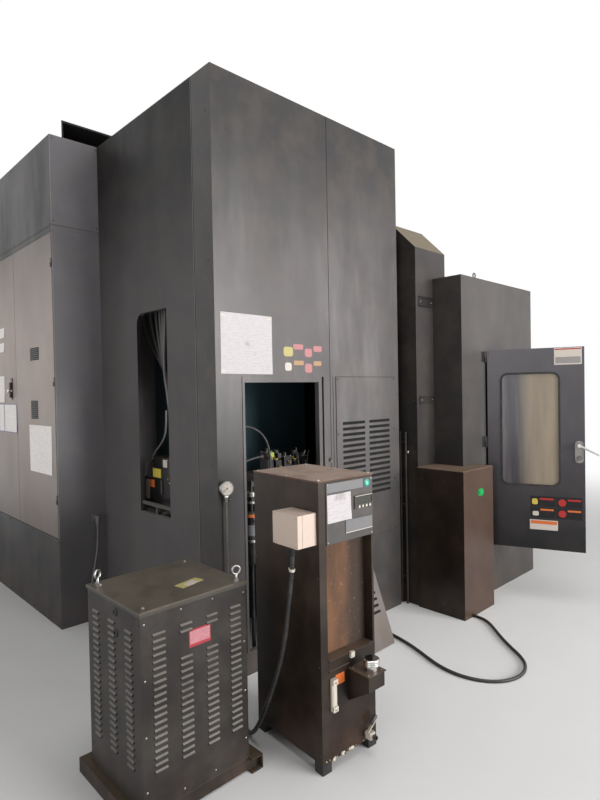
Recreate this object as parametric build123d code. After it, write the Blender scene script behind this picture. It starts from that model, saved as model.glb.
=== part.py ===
from build123d import *
import os
from math import atan2, cos, degrees, pi, radians, sin

# Horizontal machining centre with its oil cooler and its transformer.
# Millimetres, +Z up. The origin is the near bottom corner of the tall column enclosure.
# X runs to the right along the enclosure's front face and Y runs away from it.

# Column enclosure
COLUMN_WIDTH = 1618
COLUMN_DEPTH = 1385
COLUMN_HEIGHT = 3334
PANEL = 30
SEAM = 4
SEAM_DEPTH = 4
FRONT_SEAM_X = 889
FRONT_STRIP = 26
EDGE_SEAM_Z = 1230
RETURN_DEPTH = 182
ROOF_SETBACK = 6
CUT = 1

# Service opening in the front face, its raised frame and the groove beside the frame
SERVICE_X = 190
SERVICE_WIDTH = 589
SERVICE_BOTTOM = 130
SERVICE_TOP = 1643
FRAME_LEFT = 16
FRAME_RIGHT = 28
FRAME_TOP = 34
FRAME_PROUD = 4
GROOVE_WIDTH = 21
GROOVE_DEPTH = 14

# Louvred cover on the front face
COVER_X = 941
COVER_WIDTH = 627
COVER_TOP = 1675
COVER_HEIGHT = 1105
COVER_THICKNESS = 4
SLOT_LENGTH = 230
SLOT_HEIGHT = 16
SLOT_PITCH = 37.8
SLOT_ROWS = 14
SLOT_COLUMNS = 2
SLOT_COLUMN_PITCH = 273
SLOT_FIRST_X = 57
SLOT_TOP_DROP = 306
RECESS_DEPTH = 24
RECESS_MARGIN = 6

# The same kind of cover, taken off and leant on the front face
LOOSE_X = 500
LOOSE_WIDTH = 570
LOOSE_LENGTH = 930
LOOSE_FOOT_OUT = 330
LOOSE_RETURN = 14
LOOSE_ROWS = 9
LOOSE_SLOT_LENGTH = 205
LOOSE_SLOT_TOP_DROP = 420

# Opening in the left side of the column enclosure
SIDE_Y = 493
SIDE_WIDTH = 367
SIDE_BOTTOM = 835
SIDE_TOP = 2100
SIDE_CORNER = 70
SILL_BOTTOM = 880
SILL_HEIGHT = 18
SILL_DEPTH = 20
SILL_STAY = 14

# Machine column inside the enclosure, with the arm and bar that hold the cables
CASTING_X = 420
CASTING_WIDTH = 900
CASTING_Y = 620
CASTING_HEIGHT = 2900
CASTING_CHAMFER = 60
CABLE_BAR_Z = 2240
CABLE_BAR_HEIGHT = 30
CABLE_BAR_MARGIN = 30
CABLE_ARM_WIDTH = 50

# Valve block on its stand in the service opening
MANIFOLD_X = 400
MANIFOLD_WIDTH = 440
MANIFOLD_Y = 120
MANIFOLD_DEPTH = 240
MANIFOLD_BOTTOM = 820
MANIFOLD_TOP = 1080
VALVE_GAP = 22
VALVE_INSET = 40
VALVE_WIDTHS = (58, 46, 66, 50, 54)
VALVE_HEIGHTS = (135, 74, 96, 60, 84)
VALVE_FIRST = 75
VALVE_DEPTH = 62
COIL_RADIUS = 19
COIL_LENGTH = 66
STEM_RADIUS = 9
STEM_HEIGHT = 22
STAND_WIDTH = 60
BRACKET_HEIGHT = 60
ROD_RADIUS = 4
RODS = ((712, 741, 1212), (822, 792, 1204))

# Pressure vessel clamped to the valve block
CLAMP_HEIGHT = 30
CLAMP_WALL = 5
TANK_RADIUS = 36
TANK_SHOULDER = 22
TANK_PIPE = 12
TANK_X = 335
TANK_Y = 140
TANK_BOTTOM = 560
TANK_TOP = 880
TANK_NECK = 11
TANK_NECK_TOP = 1064
TANK_NUT = 20
TANK_NUT_HEIGHT = 30
TANK_NUTS = (936, 1028)

# Hoses from the enclosure's left wall to the valve block
HOSE_RADIUS = 7
HIGH_HOSE_Y = 140
HIGH_HOSE_X = 491
LOW_HOSE_Z = 1188
LOW_HOSE_WALL_Z = 1140

# Terminal boxes of the feed motor on their shelf behind the side opening
MOTOR_X = 90
MOTOR_Y = 640
MOTOR_WIDTH = 240
MOTOR_DEPTH = 348
MOTOR_BOTTOM = 850
MOTOR_TOP = 1034
UPPER_BOX_INSET = 20
UPPER_BOX_WIDTH = 180
UPPER_BOX_DEPTH = 203
UPPER_BOX_TOP = 1177
BOX_CHAMFER = 8
MOTOR_SHELF = 20

# Cables that fan out above the terminal boxes, and the pipe beside them
HARNESS_X = 130
HARNESS_RADIUS = 9
HARNESS_STEP_X = 13
HARNESS_STEP_Y = 16.5
HARNESS_SPREADS = (0, 38, 80, 140, 223, 345)
HARNESS_LEVELS = ((2120, 730, 1), (2020, 735, 0.85), (1915, 745, 0.6), (1815, 755, 0.27),
                  (1700, 752, 0), (1580, 720, 0), (1400, 690, 0))
SIDE_PIPE_RADIUS = 6
SIDE_PIPE_X = 105
SIDE_PIPE_END_Y = 935

# Pressure gauge on its tube in front of the front face
GAUGE_X = 61
GAUGE_Z = 1067
GAUGE_RADIUS = 45
GAUGE_RIM = 4
GAUGE_DIAL_DEPTH = 4
GAUGE_DEPTH = 30
GAUGE_OFF = 34
GAUGE_TUBE_RADIUS = 6
GAUGE_TUBE_BOTTOM = 260
GAUGE_BEND = 34
GAUGE_NUT_RADIUS = 11
GAUGE_NUT_HEIGHT = 16
GAUGE_CLAMP_DROP = 30
GAUGE_CLAMP_WIDTH = 30
GAUGE_CLAMP_HEIGHT = 46
GAUGE_CLAMP_WALL = 8

# Housings behind the column enclosure, and the hood on their roof
HOUSING_DEPTH = 1595
HOUSING_BAYS = 3
LOW_HOUSING_HEIGHT = 2500
HOOD_X = -160
HOOD_WIDTH = 1250
HOOD_Y = 1600
HOOD_DEPTH = 1000
HOOD_HEIGHT = 219
HOOD_WALL = 12

# Electrical cabinet on the left of the housing
CABINET_DEPTH = 327
CABINET_WALL = 15
CABINET_BACK = 20
CABINET_FLOOR_Z = 611
CABINET_CEILING_Z = 2690
CABINET_BAND = 44
CABINET_BAND_RECESS = 4
LEAF_THICKNESS = 22
LEAF_GAP = 5
LEAF_SIDE_GAP = 5
LEAF_MEETING_Y = 2190
LEAF_GRILLES = ((1684, 1845, 180, 7), (1727, 1421, 145, 10))
GRILLE_PITCH = 14
GRILLE_SLOT = 6
GRILLE_DEPTH = 8
HINGE_OUT = 6
HINGE_RADIUS = 5
HINGE_LENGTH = 60
HINGE_HEIGHTS = (850, 1650, 2450)
HINGE_STRAP = 12
HANDLE_Y = 2280
HANDLE_BOTTOM = 1560
HANDLE_WIDTH = 36
HANDLE_HEIGHT = 170
HANDLE_PLATE = 6
GRIP_INSET = 8
GRIP_DROP = 15
GRIP_DEPTH = 16
GRIP_LENGTH = 120

# Cable outlet low on the cabinet's front
GLAND_X = -77
GLAND_Z = 725
GLAND_OUT = 38
GLAND_RADIUS = 15
GLAND_DROP = 35
GLAND_PLATE = 52
GLAND_PLATE_THICKNESS = 4

# Tower to the right of the column enclosure
TOWER_GAP = 61
TOWER_X = COLUMN_WIDTH + TOWER_GAP
TOWER_WIDTH = 393
TOWER_Y = -121
TOWER_FRONT_HEIGHT = 2615
TOWER_RISE = 450
STRAP_X = 26
STRAP_THICKNESS = 4
STRAP_FLANGE = 14
STRAP_LEVELS = ((2189, 72), (1477, 56))
SERVICE_PIPE_RADIUS = 9
SERVICE_PIPE_Y = (-26, 20)
SERVICE_PIPE_OFF = 17
SERVICE_PIPE_TOP = 1270
SERVICE_CLIPS = (180, 720, 1180)
SERVICE_CLIP_HEIGHT = 16
SERVICE_KNOB_Z = 1123
SERVICE_KNOB_RADIUS = 11
SERVICE_KNOB_LENGTH = 24

# Tool magazine cabinet
MAGAZINE_SHIFT = 221
MAGAZINE_X = TOWER_X + MAGAZINE_SHIFT
MAGAZINE_WIDTH = 1150
MAGAZINE_Y = -357
MAGAZINE_HEIGHT = 2408
MAGAZINE_WALL = 25
DOORWAY_INSET = 340
DOORWAY_X = MAGAZINE_X + DOORWAY_INSET
DOORWAY_WIDTH = 610
DOORWAY_BOTTOM = 430
DOORWAY_TOP = 1830
ROOF_EYE_X = 263
ROOF_EYE_Y = 40

# Magazine door, opened as it stands
DOOR_AXIS_X = DOORWAY_X - 18
DOOR_AXIS_Y = MAGAZINE_Y - 16
DOOR_OPEN = 68.6
DOOR_WIDTH = 667
DOOR_BOTTOM = 395
DOOR_TOP = 1868
DOOR_THICKNESS = 22
WINDOW_X = 107
WINDOW_WIDTH = 396
WINDOW_BOTTOM = 862
WINDOW_HEIGHT = 825
WINDOW_CORNER = 50
GASKET_WIDTH = 14
GASKET_PROUD = 3
GLASS = 5
LOCK_X = 602
LOCK_WIDTH = 55
LOCK_BOTTOM = 1038
LOCK_HEIGHT = 157
LOCK_THICKNESS = 6
LOCK_CORNER = 20
KEY_RADIUS = 11
KEY_RISE = 34
KEY_PROUD = 4
KEY_SLOT = 2.5
LEVER_X = 630
LEVER_Z = 1165
LEVER_REACH_X = 123
LEVER_DROP = 65
LEVER_HUB_RADIUS = 13
LEVER_HUB_LENGTH = 40
LEVER_ROOT_RADIUS = 9
LEVER_TIP_RADIUS = 5.5
RUNNING_GAP = 0.3
BARREL_RADIUS = 8
BARREL_LENGTH = 80
BARREL_HEIGHTS = (1780, 1135, 490)
BARREL_CLEAR = 2
BARREL_STRAP = 4
BARREL_PLATE = 34

# Low box in front of the tower
LOW_BOX_SHIFT = 14
LOW_BOX_X = TOWER_X - LOW_BOX_SHIFT
LOW_BOX_WIDTH = 410
LOW_BOX_Y = -494
LOW_BOX_HEIGHT = 1020
LOW_BOX_EDGE = 9
LAMP_INSET = 228
LAMP_X = LOW_BOX_X + LAMP_INSET
LAMP_Z = 851
LAMP_WIDTH = 66
LAMP_HEIGHT = 50
LAMP_DEPTH = 10
LAMP_RIM = 7
LAMP_RIM_DEPTH = 4

# Oil cooler, turned a little from the machine
COOLER_X = -115
COOLER_Y = -862
COOLER_TURN = -3.5
COOLER_WIDTH = 325
COOLER_DEPTH = 450
COOLER_HEIGHT = 1222
COOLER_LIFT = 44
COOLER_LID = 8
COOLER_LID_LIP = 3
FOOT = 50
SCREEN_X = 40
SCREEN_WIDTH = 273
SCREEN_BOTTOM = 470
SCREEN_HEIGHT = 480
SCREEN_DEPTH = 58
SCREEN_THICKNESS = 8
RAIL_WIDTH = 122
RAIL_DROP = 48
RAIL_PROUD = 9
RAIL_EDGE = 4
LEDGE_X = 184
LEDGE_WIDTH = 108
LEDGE_HEIGHT = 6
LATCH_HEIGHT = 24
LATCH_PROUD = 14
CONTROL_X = 40
CONTROL_WIDTH = 280
CONTROL_BOTTOM = 952
CONTROL_HEIGHT = 256
CONTROL_PROUD = 4
BEZEL_X = 203
BEZEL_WIDTH = 112
BEZEL_BOTTOM = 1078
BEZEL_HEIGHT = 58
BEZEL_PROUD = 7
BEZEL_RIM = 5
BUTTON_COUNT = 4
BUTTON_PITCH = 22
BUTTON_SIZE = 10
BUTTON_PROUD = 4
NAMEPLATE_X = 148
NAMEPLATE_WIDTH = 168
NAMEPLATE_BOTTOM = 981
NAMEPLATE_HEIGHT = 59
NAMEPLATE_PROUD = 2
FILLER_X = 150
FILLER_WIDTH = 110
FILLER_OUT = 125
FILLER_TOP = 405
FILLER_PLATE = 4
FILLER_MARGIN = 6
FILLER_FRONT_HEIGHT = 62
FILLER_BACK_HEIGHT = 140
CAP_X = 212
CAP_OUT = 84
CAP_RADIUS = 34
CAP_HEIGHT = 28
CAP_EDGE = 6
CAP_BASE_RADIUS = 28
CAP_BASE_HEIGHT = 24
CAP_BASE_SIDES = 12
LEVEL_X = 50
LEVEL_WIDTH = 26
LEVEL_BOTTOM = 254
LEVEL_HEIGHT = 136
LEVEL_OUT = 12
LEVEL_END = 22
LEVEL_END_OUT = 20
DRAIN_X = 262
DRAIN_Z = 78
DRAIN_RADIUS = 11
DRAIN_OUT = 46
DRAIN_BODY = 30
DRAIN_LEVER = 62
DRAIN_LEVER_WIDTH = 12
DRAIN_LEVER_THICKNESS = 4
DRAIN_LEVER_SLOPE = 38
TERMINAL_OUT = 100
TERMINAL_Y = 15
TERMINAL_WIDTH = 163
TERMINAL_BOTTOM = 957
TERMINAL_HEIGHT = 135
TERMINAL_LID = 24
TERMINAL_GROOVE = 2
TERMINAL_EDGE = 4

# Transformer with pressed louvres, on its skid
TRANSFORMER_X = -785
TRANSFORMER_Y = -615
TRANSFORMER_WIDTH = 480
TRANSFORMER_DEPTH = 450
TRANSFORMER_HEIGHT = 804
SKID_HEIGHT = 60
SKID_LEFT = 30
SKID_RIGHT = 55
SKID_FRONT = 25
SKID_BACK = 60
SKID_CHANNEL = 60
SKID_WALL = 7
SKID_BARS = 3
SKID_BAR_WIDTH = 40
LID_HEIGHT = 14
LID_LIP = 6
LOUVRE_LENGTH = 52
LOUVRE_HEIGHT = 11
LOUVRE_PROUD = 5
LOUVRE_LIP = 4
LOUVRE_SHEET = 1.5
LOUVRE_DEPTH = 5
LOUVRE_PITCH = 25.3
LOUVRE_ROWS = 21
LOUVRE_TOP = 717
LOUVRE_FRONT_CENTRES = (73, 189, 307, 422)
LOUVRE_SIDE_CENTRES = (95, 235, 375)
PLATE_ROWS = (2, 3, 4)
PLATE_COLUMNS = (1, 2)
EYE_RADIUS = 17
EYE_WIRE = 4.5
EYE_SPACING = 430
EYE_INSET = 225
EYE_SHANK = 12
EYE_COLLAR = 12
EYE_COLLAR_HEIGHT = 4

# Cables and the cooler's conduit: outer radii, and routes as chosen points
CONDUIT_RADIUS = 10
CABLE_RADIUS = 9
CABINET_CABLE_RADIUS = 8
FLOOR_GAP = 0.3
BEND_SHARE = 0.45


def block(x, y, z, width, depth, height):
    """Make a plain block from its lowest corner and its three sizes."""
    return Pos(x + width / 2, y + depth / 2, z + height / 2) * Box(width, depth, height)


def drum(x, y, z, radius, height):
    """Make an upright cylinder from the middle of its underside."""
    return Pos(x, y, z + height / 2) * Cylinder(radius, height)


def front_drum(x, y, z, radius, length):
    """Make a cylinder that runs back along Y from the middle of its front end."""
    return Pos(x, y + length / 2, z) * Rot(90, 0, 0) * Cylinder(radius, length)


def rounded_plate(width, height, radius, thickness):
    """Make a plate in the XZ plane, centred, with round corners and its thickness along Y."""
    outline = Plane.XZ * RectangleRounded(width, height, radius)
    return extrude(outline, amount=thickness / 2, both=True)


def side_profile(points, x, width):
    """Extrude a closed outline of (y, z) points to the right from x."""
    return extrude(Plane.YZ.offset(x) * make_face(Polyline(*points, close=True)), amount=width)


def bar_between(start, end, radius):
    """Make a straight round bar between the middles of its two ends."""
    axis = Vector(*end) - Vector(*start)
    return extrude(Plane(origin=start, z_dir=axis) * Circle(radius), amount=axis.length)


def tapered_bar(start, end, start_radius, end_radius):
    """Make a straight round bar that narrows from its start to its end."""
    axis = Vector(*end) - Vector(*start)
    sections = [Plane(origin=start, z_dir=axis) * Circle(start_radius),
                Plane(origin=end, z_dir=axis) * Circle(end_radius)]
    return loft(sections)


def tube(points, radius):
    """Make a round tube: straight runs joined by arcs as large as the runs allow."""
    path_points = [Vector(*p) for p in points]
    radii = []
    for before, here, after in zip(path_points, path_points[1:], path_points[2:]):
        turn = radians((here - before).get_angle(after - here))
        run = min((here - before).length, (after - here).length)
        radii.append(BEND_SHARE * run / (sin(turn / 2) / cos(turn / 2)))
    path = FilletPolyline(*path_points, radius=radii)
    start = Plane(origin=path @ 0, z_dir=path % 0)
    solid = sweep(start * Circle(radius), path=path)
    share = solid.volume / (pi * radius * radius * path.length)
    print("tube length", round(path.length), "volume share", round(share, 4))
    print("bend radii", [round(r) for r in radii])
    return solid


def lifting_eye(x, y, z):
    """Make a lifting eye on its collar: a ring in the XZ plane on a short shank."""
    ring = Pos(x, y, z + EYE_SHANK + EYE_RADIUS) * Rot(90, 0, 0) * Torus(EYE_RADIUS, EYE_WIRE)
    return ring + drum(x, y, z, EYE_WIRE, EYE_SHANK) + drum(x, y, z, EYE_COLLAR, EYE_COLLAR_HEIGHT)


def write(name, *solids):
    """Write one node from one or more solids that don't touch each other."""
    shape = solids[0] if len(solids) == 1 else Compound(children=list(solids))
    export_step(shape, "parts/" + name + ".step")


def front_seam(x, bottom, height):
    """Groove of an upright seam in a face that looks to the front at Y zero."""
    return block(x - SEAM / 2, -CUT, bottom, SEAM, SEAM_DEPTH + CUT, height)


def front_left_panel():
    """Front panel left of the seam, folded back along the left side, with the service opening."""
    face = block(0, 0, 0, FRONT_SEAM_X, PANEL, COLUMN_HEIGHT)
    fold = block(0, 0, 0, PANEL, RETURN_DEPTH, COLUMN_HEIGHT)
    panel = face + fold
    opening = SERVICE_TOP - SERVICE_BOTTOM
    panel -= block(SERVICE_X, -CUT, SERVICE_BOTTOM, SERVICE_WIDTH, PANEL + 2 * CUT, opening)
    groove_x = SERVICE_X + SERVICE_WIDTH + FRAME_RIGHT
    panel -= block(groove_x, -CUT, SERVICE_BOTTOM, GROOVE_WIDTH, GROOVE_DEPTH + CUT, opening + FRAME_TOP)
    panel -= front_seam(FRONT_SEAM_X, -CUT, COLUMN_HEIGHT + 2 * CUT)
    fold_seam = block(-CUT, RETURN_DEPTH - SEAM / 2, -CUT, SEAM_DEPTH + CUT, SEAM, COLUMN_HEIGHT + 2 * CUT)
    return panel - fold_seam


def cover_slots(first_x, top, length, rows, thickness):
    """Round-ended slots of a louvred cover, as solids to cut away, starting at a top left corner."""
    slot = extrude(Plane.XZ * SlotOverall(length, SLOT_HEIGHT), amount=thickness, both=True)
    places = []
    for column in range(SLOT_COLUMNS):
        for row in range(rows):
            x = first_x + column * SLOT_COLUMN_PITCH + length / 2
            places.append(Pos(x, 0, top - row * SLOT_PITCH))
    return [place * slot for place in places]


def front_right_panel():
    """Front panel right of the seam, with a shallow recess behind each column of slots."""
    panel = block(FRONT_SEAM_X, 0, 0, COLUMN_WIDTH - FRONT_SEAM_X, PANEL, COLUMN_HEIGHT)
    for x in (FRONT_SEAM_X, FRONT_SEAM_X + FRONT_STRIP):
        panel -= front_seam(x, -CUT, COLUMN_HEIGHT + 2 * CUT)
    edge_x = COVER_X + COVER_WIDTH
    panel -= block(edge_x, -CUT, EDGE_SEAM_Z, COLUMN_WIDTH - edge_x + CUT, SEAM_DEPTH + CUT, SEAM)
    span = (SLOT_ROWS - 1) * SLOT_PITCH + SLOT_HEIGHT + 2 * RECESS_MARGIN
    top = COVER_TOP - SLOT_TOP_DROP + SLOT_HEIGHT / 2 + RECESS_MARGIN
    for column in range(SLOT_COLUMNS):
        x = COVER_X + SLOT_FIRST_X + column * SLOT_COLUMN_PITCH - RECESS_MARGIN
        width = SLOT_LENGTH + 2 * RECESS_MARGIN
        panel -= block(x, -CUT, top - span, width, RECESS_DEPTH + CUT, span)
    return panel


def louvred_cover():
    """Screwed cover with two columns of open slots, on the front face."""
    bottom = COVER_TOP - COVER_HEIGHT
    plate = block(COVER_X, -COVER_THICKNESS, bottom, COVER_WIDTH, COVER_THICKNESS, COVER_HEIGHT)
    top = COVER_TOP - SLOT_TOP_DROP
    return plate - cover_slots(COVER_X + SLOT_FIRST_X, top, SLOT_LENGTH, SLOT_ROWS, PANEL)


def loose_cover():
    """Removed cover: a slotted sheet with folded edges, its foot on the floor and its top on the face."""
    sheet = block(0, 0, 0, LOOSE_WIDTH, LOOSE_RETURN, LOOSE_LENGTH)
    inner_width = LOOSE_WIDTH - 2 * COVER_THICKNESS
    inner_length = LOOSE_LENGTH - 2 * COVER_THICKNESS
    sheet -= block(COVER_THICKNESS, COVER_THICKNESS, COVER_THICKNESS, inner_width, LOOSE_RETURN, inner_length)
    first = (LOOSE_WIDTH - SLOT_COLUMN_PITCH - LOOSE_SLOT_LENGTH) / 2
    top = LOOSE_LENGTH - LOOSE_SLOT_TOP_DROP
    sheet -= cover_slots(first, top, LOOSE_SLOT_LENGTH, LOOSE_ROWS, COVER_THICKNESS * 2)
    lean = degrees(atan2(LOOSE_FOOT_OUT, (LOOSE_LENGTH ** 2 - LOOSE_FOOT_OUT ** 2) ** 0.5))
    turned = Rot(-lean, 0, 0) * sheet
    box = turned.bounding_box()
    proud = max(FRAME_PROUD, COVER_THICKNESS)
    return Pos(LOOSE_X, -proud - RUNNING_GAP - box.max.Y, -box.min.Z) * turned


def left_panel():
    """Left side of the column enclosure, with its opening."""
    panel = block(0, RETURN_DEPTH, 0, PANEL, COLUMN_DEPTH - RETURN_DEPTH, COLUMN_HEIGHT)
    panel -= block(-CUT, RETURN_DEPTH - SEAM / 2, -CUT, SEAM_DEPTH + CUT, SEAM, COLUMN_HEIGHT + 2 * CUT)
    gap = block(-CUT, SIDE_Y, SIDE_BOTTOM, PANEL + 2 * CUT, SIDE_WIDTH, SIDE_TOP - SIDE_BOTTOM)
    far_top = gap.edges().filter_by(Axis.X).sort_by(Axis.Z)[-2:].sort_by(Axis.Y)[-1]
    return panel - fillet(far_top, SIDE_CORNER)


def side_sill():
    """Bar across the side opening, with the short stay under it."""
    bar = block(PANEL - SILL_DEPTH, SIDE_Y, SILL_BOTTOM, SILL_DEPTH, SIDE_WIDTH, SILL_HEIGHT)
    stay_y = SIDE_Y + SIDE_WIDTH / 2 - SILL_STAY / 2
    stay = block(PANEL - SILL_DEPTH, stay_y, SIDE_BOTTOM, SILL_DEPTH, SILL_STAY, SILL_BOTTOM - SIDE_BOTTOM)
    return bar + stay


def service_frame():
    """Raised frame round the service opening, open at the bottom."""
    width = FRAME_LEFT + SERVICE_WIDTH + FRAME_RIGHT
    height = SERVICE_TOP + FRAME_TOP - SERVICE_BOTTOM
    frame = block(SERVICE_X - FRAME_LEFT, -FRAME_PROUD, SERVICE_BOTTOM, width, FRAME_PROUD, height)
    opening = SERVICE_TOP - SERVICE_BOTTOM + CUT
    depth = FRAME_PROUD + 2 * CUT
    return frame - block(SERVICE_X, -FRAME_PROUD - CUT, SERVICE_BOTTOM - CUT, SERVICE_WIDTH, depth, opening)


def harness_line(index):
    """Points of one cable, from the bar above the side opening down to the upper terminal box."""
    x = HARNESS_X + index * HARNESS_STEP_X
    shift = index * HARNESS_STEP_Y
    points = [(x, y + shift + share * HARNESS_SPREADS[index], z) for z, y, share in HARNESS_LEVELS]
    top = (x, points[0][1], CABLE_BAR_Z)
    foot = (x, points[-1][1], UPPER_BOX_TOP)
    return [top] + points + [foot]


def column_casting():
    """The machine's column inside the enclosure, with the arm and bar that its cables hang from."""
    casting = block(CASTING_X, CASTING_Y, 0, CASTING_WIDTH, COLUMN_DEPTH - CASTING_Y, CASTING_HEIGHT)
    casting = chamfer(casting.edges().filter_by(Axis.Z).sort_by(Axis.Y)[:2], CASTING_CHAMFER)
    tops = [harness_line(index)[0] for index in range(len(HARNESS_SPREADS))]
    x = tops[0][0] - CABLE_BAR_MARGIN
    width = tops[-1][0] + CABLE_BAR_MARGIN - x
    near = tops[0][1] - CABLE_BAR_MARGIN
    depth = tops[-1][1] + CABLE_BAR_MARGIN - near
    bar = block(x, near, CABLE_BAR_Z, width, depth, CABLE_BAR_HEIGHT)
    arm_y = near + depth / 2 - CABLE_ARM_WIDTH / 2
    arm = block(x, arm_y, CABLE_BAR_Z, CASTING_X - x, CABLE_ARM_WIDTH, CABLE_BAR_HEIGHT)
    return casting + bar + arm


def side_cables():
    """Cables that fan out above the terminal boxes, and the pipe that runs down beside them."""
    cables = [tube(harness_line(index), HARNESS_RADIUS) for index in range(len(HARNESS_SPREADS))]
    x, end = SIDE_PIPE_X, SIDE_PIPE_END_Y
    pipe = tube([(x, 700, 1480), (x, 702, 1400), (x, 716, 1322), (x, 772, 1262), (x, 845, 1212),
                 (x, 903, 1152), (x, end, 1092), (x, end, MOTOR_TOP)], SIDE_PIPE_RADIUS)
    return cables + [pipe]


def valve_row():
    """Row of valves on the valve block, each with its stem, and the coils of the second and the fourth."""
    row = []
    x = MANIFOLD_X + VALVE_FIRST
    y = MANIFOLD_Y + VALVE_INSET
    for index, (width, height) in enumerate(zip(VALVE_WIDTHS, VALVE_HEIGHTS)):
        middle_x = x + width / 2
        middle_y = y + VALVE_DEPTH / 2
        row.append(block(x, y, MANIFOLD_TOP, width, VALVE_DEPTH, height))
        if index % 2:
            row.append(drum(middle_x, middle_y, MANIFOLD_TOP + height, COIL_RADIUS, COIL_LENGTH))
        else:
            row.append(drum(middle_x, middle_y, MANIFOLD_TOP + height, STEM_RADIUS, STEM_HEIGHT))
        x += width + VALVE_GAP
    return row


def manifold():
    """Valve block on its stand, with its valves and two slanted rods, in the service opening."""
    height = MANIFOLD_TOP - MANIFOLD_BOTTOM
    body = block(MANIFOLD_X, MANIFOLD_Y, MANIFOLD_BOTTOM, MANIFOLD_WIDTH, MANIFOLD_DEPTH, height)
    rod_y = MANIFOLD_Y + VALVE_INSET / 2
    for top_x, foot_x, top_z in RODS:
        body += bar_between((foot_x, rod_y, MANIFOLD_TOP - ROD_RADIUS * 2), (top_x, rod_y, top_z), ROD_RADIUS)
    stand_x = MANIFOLD_X + MANIFOLD_WIDTH / 2 - STAND_WIDTH / 2
    stand_y = MANIFOLD_Y + MANIFOLD_DEPTH / 2 - STAND_WIDTH / 2
    body += block(stand_x, stand_y, 0, STAND_WIDTH, STAND_WIDTH, MANIFOLD_BOTTOM)
    bracket_y = MANIFOLD_Y + MANIFOLD_DEPTH
    bracket_z = MANIFOLD_TOP - BRACKET_HEIGHT
    body += block(CASTING_X, bracket_y, bracket_z, STAND_WIDTH, CASTING_Y - bracket_y, BRACKET_HEIGHT)
    return body + valve_row() + tank_clamp()


def tank_clamp():
    """Ring that holds the pressure vessel to the valve block."""
    outer = TANK_RADIUS + RUNNING_GAP + CLAMP_WALL
    z = MANIFOLD_BOTTOM
    ring = drum(TANK_X, TANK_Y, z, outer, CLAMP_HEIGHT)
    reach = MANIFOLD_X - TANK_X + CLAMP_WALL
    arm = block(TANK_X, TANK_Y - CLAMP_WALL, z, reach, 2 * CLAMP_WALL, CLAMP_HEIGHT)
    return ring + arm - drum(TANK_X, TANK_Y, z - CUT, TANK_RADIUS + RUNNING_GAP, CLAMP_HEIGHT + 2 * CUT)


def pressure_tank():
    """Small pressure vessel standing on its pipe, with a neck and two nuts on top."""
    vessel = drum(TANK_X, TANK_Y, TANK_BOTTOM, TANK_RADIUS, TANK_TOP - TANK_BOTTOM)
    vessel = fillet(vessel.edges().filter_by(GeomType.CIRCLE), TANK_SHOULDER)
    vessel += drum(TANK_X, TANK_Y, 0, TANK_PIPE, TANK_BOTTOM + TANK_RADIUS)
    vessel += drum(TANK_X, TANK_Y, TANK_TOP - TANK_RADIUS, TANK_NECK, TANK_NECK_TOP - TANK_TOP + TANK_RADIUS)
    nut = extrude(RegularPolygon(TANK_NUT, 6), amount=TANK_NUT_HEIGHT)
    for z in TANK_NUTS:
        vessel += Pos(TANK_X, TANK_Y, z) * nut
    return vessel


def service_hoses():
    """Two hoses from the enclosure's left wall to the valve block."""
    y = HIGH_HOSE_Y
    x = HIGH_HOSE_X
    high = tube([(PANEL, y, 1340), (90, y, 1340), (158, y, 1362), (228, y, 1384), (300, y, 1388),
                 (368, y, 1372), (426, y, 1336), (466, y, 1284), (x - 6, y, 1218), (x, y, 1150),
                 (x, y, MANIFOLD_TOP)], HOSE_RADIUS)
    y = MANIFOLD_Y + VALVE_INSET + VALVE_DEPTH / 2
    z = LOW_HOSE_Z
    low = tube([(PANEL, y, LOW_HOSE_WALL_Z), (110, y, LOW_HOSE_WALL_Z), (200, y, 1146), (290, y, 1160),
                (366, y, 1178), (420, y, z), (MANIFOLD_X + VALVE_FIRST, y, z)], HOSE_RADIUS)
    return high, low


def pump_motor():
    """Two stacked terminal boxes on a shelf behind the side opening."""
    shelf = block(PANEL, MOTOR_Y, MOTOR_BOTTOM - MOTOR_SHELF, CASTING_X - PANEL, MOTOR_DEPTH, MOTOR_SHELF)
    lower = block(MOTOR_X, MOTOR_Y, MOTOR_BOTTOM, MOTOR_WIDTH, MOTOR_DEPTH, MOTOR_TOP - MOTOR_BOTTOM)
    lower = chamfer(lower.edges().filter_by(Axis.Z), BOX_CHAMFER)
    y = MOTOR_Y + UPPER_BOX_INSET
    upper = block(MOTOR_X, y, MOTOR_TOP, UPPER_BOX_WIDTH, UPPER_BOX_DEPTH, UPPER_BOX_TOP - MOTOR_TOP)
    upper = chamfer(upper.edges().filter_by(Axis.Z), BOX_CHAMFER)
    return shelf + lower + upper


def pressure_gauge():
    """Round gauge facing the front, its rim proud of its dial."""
    front = -GAUGE_OFF - GAUGE_DEPTH
    case = front_drum(GAUGE_X, front, GAUGE_Z, GAUGE_RADIUS, GAUGE_DEPTH)
    rims = case.edges().filter_by(GeomType.CIRCLE)
    case = chamfer(rims, GAUGE_RIM / 2)
    return case - front_drum(GAUGE_X, front, GAUGE_Z, GAUGE_RADIUS - GAUGE_RIM, GAUGE_DIAL_DEPTH)


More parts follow.
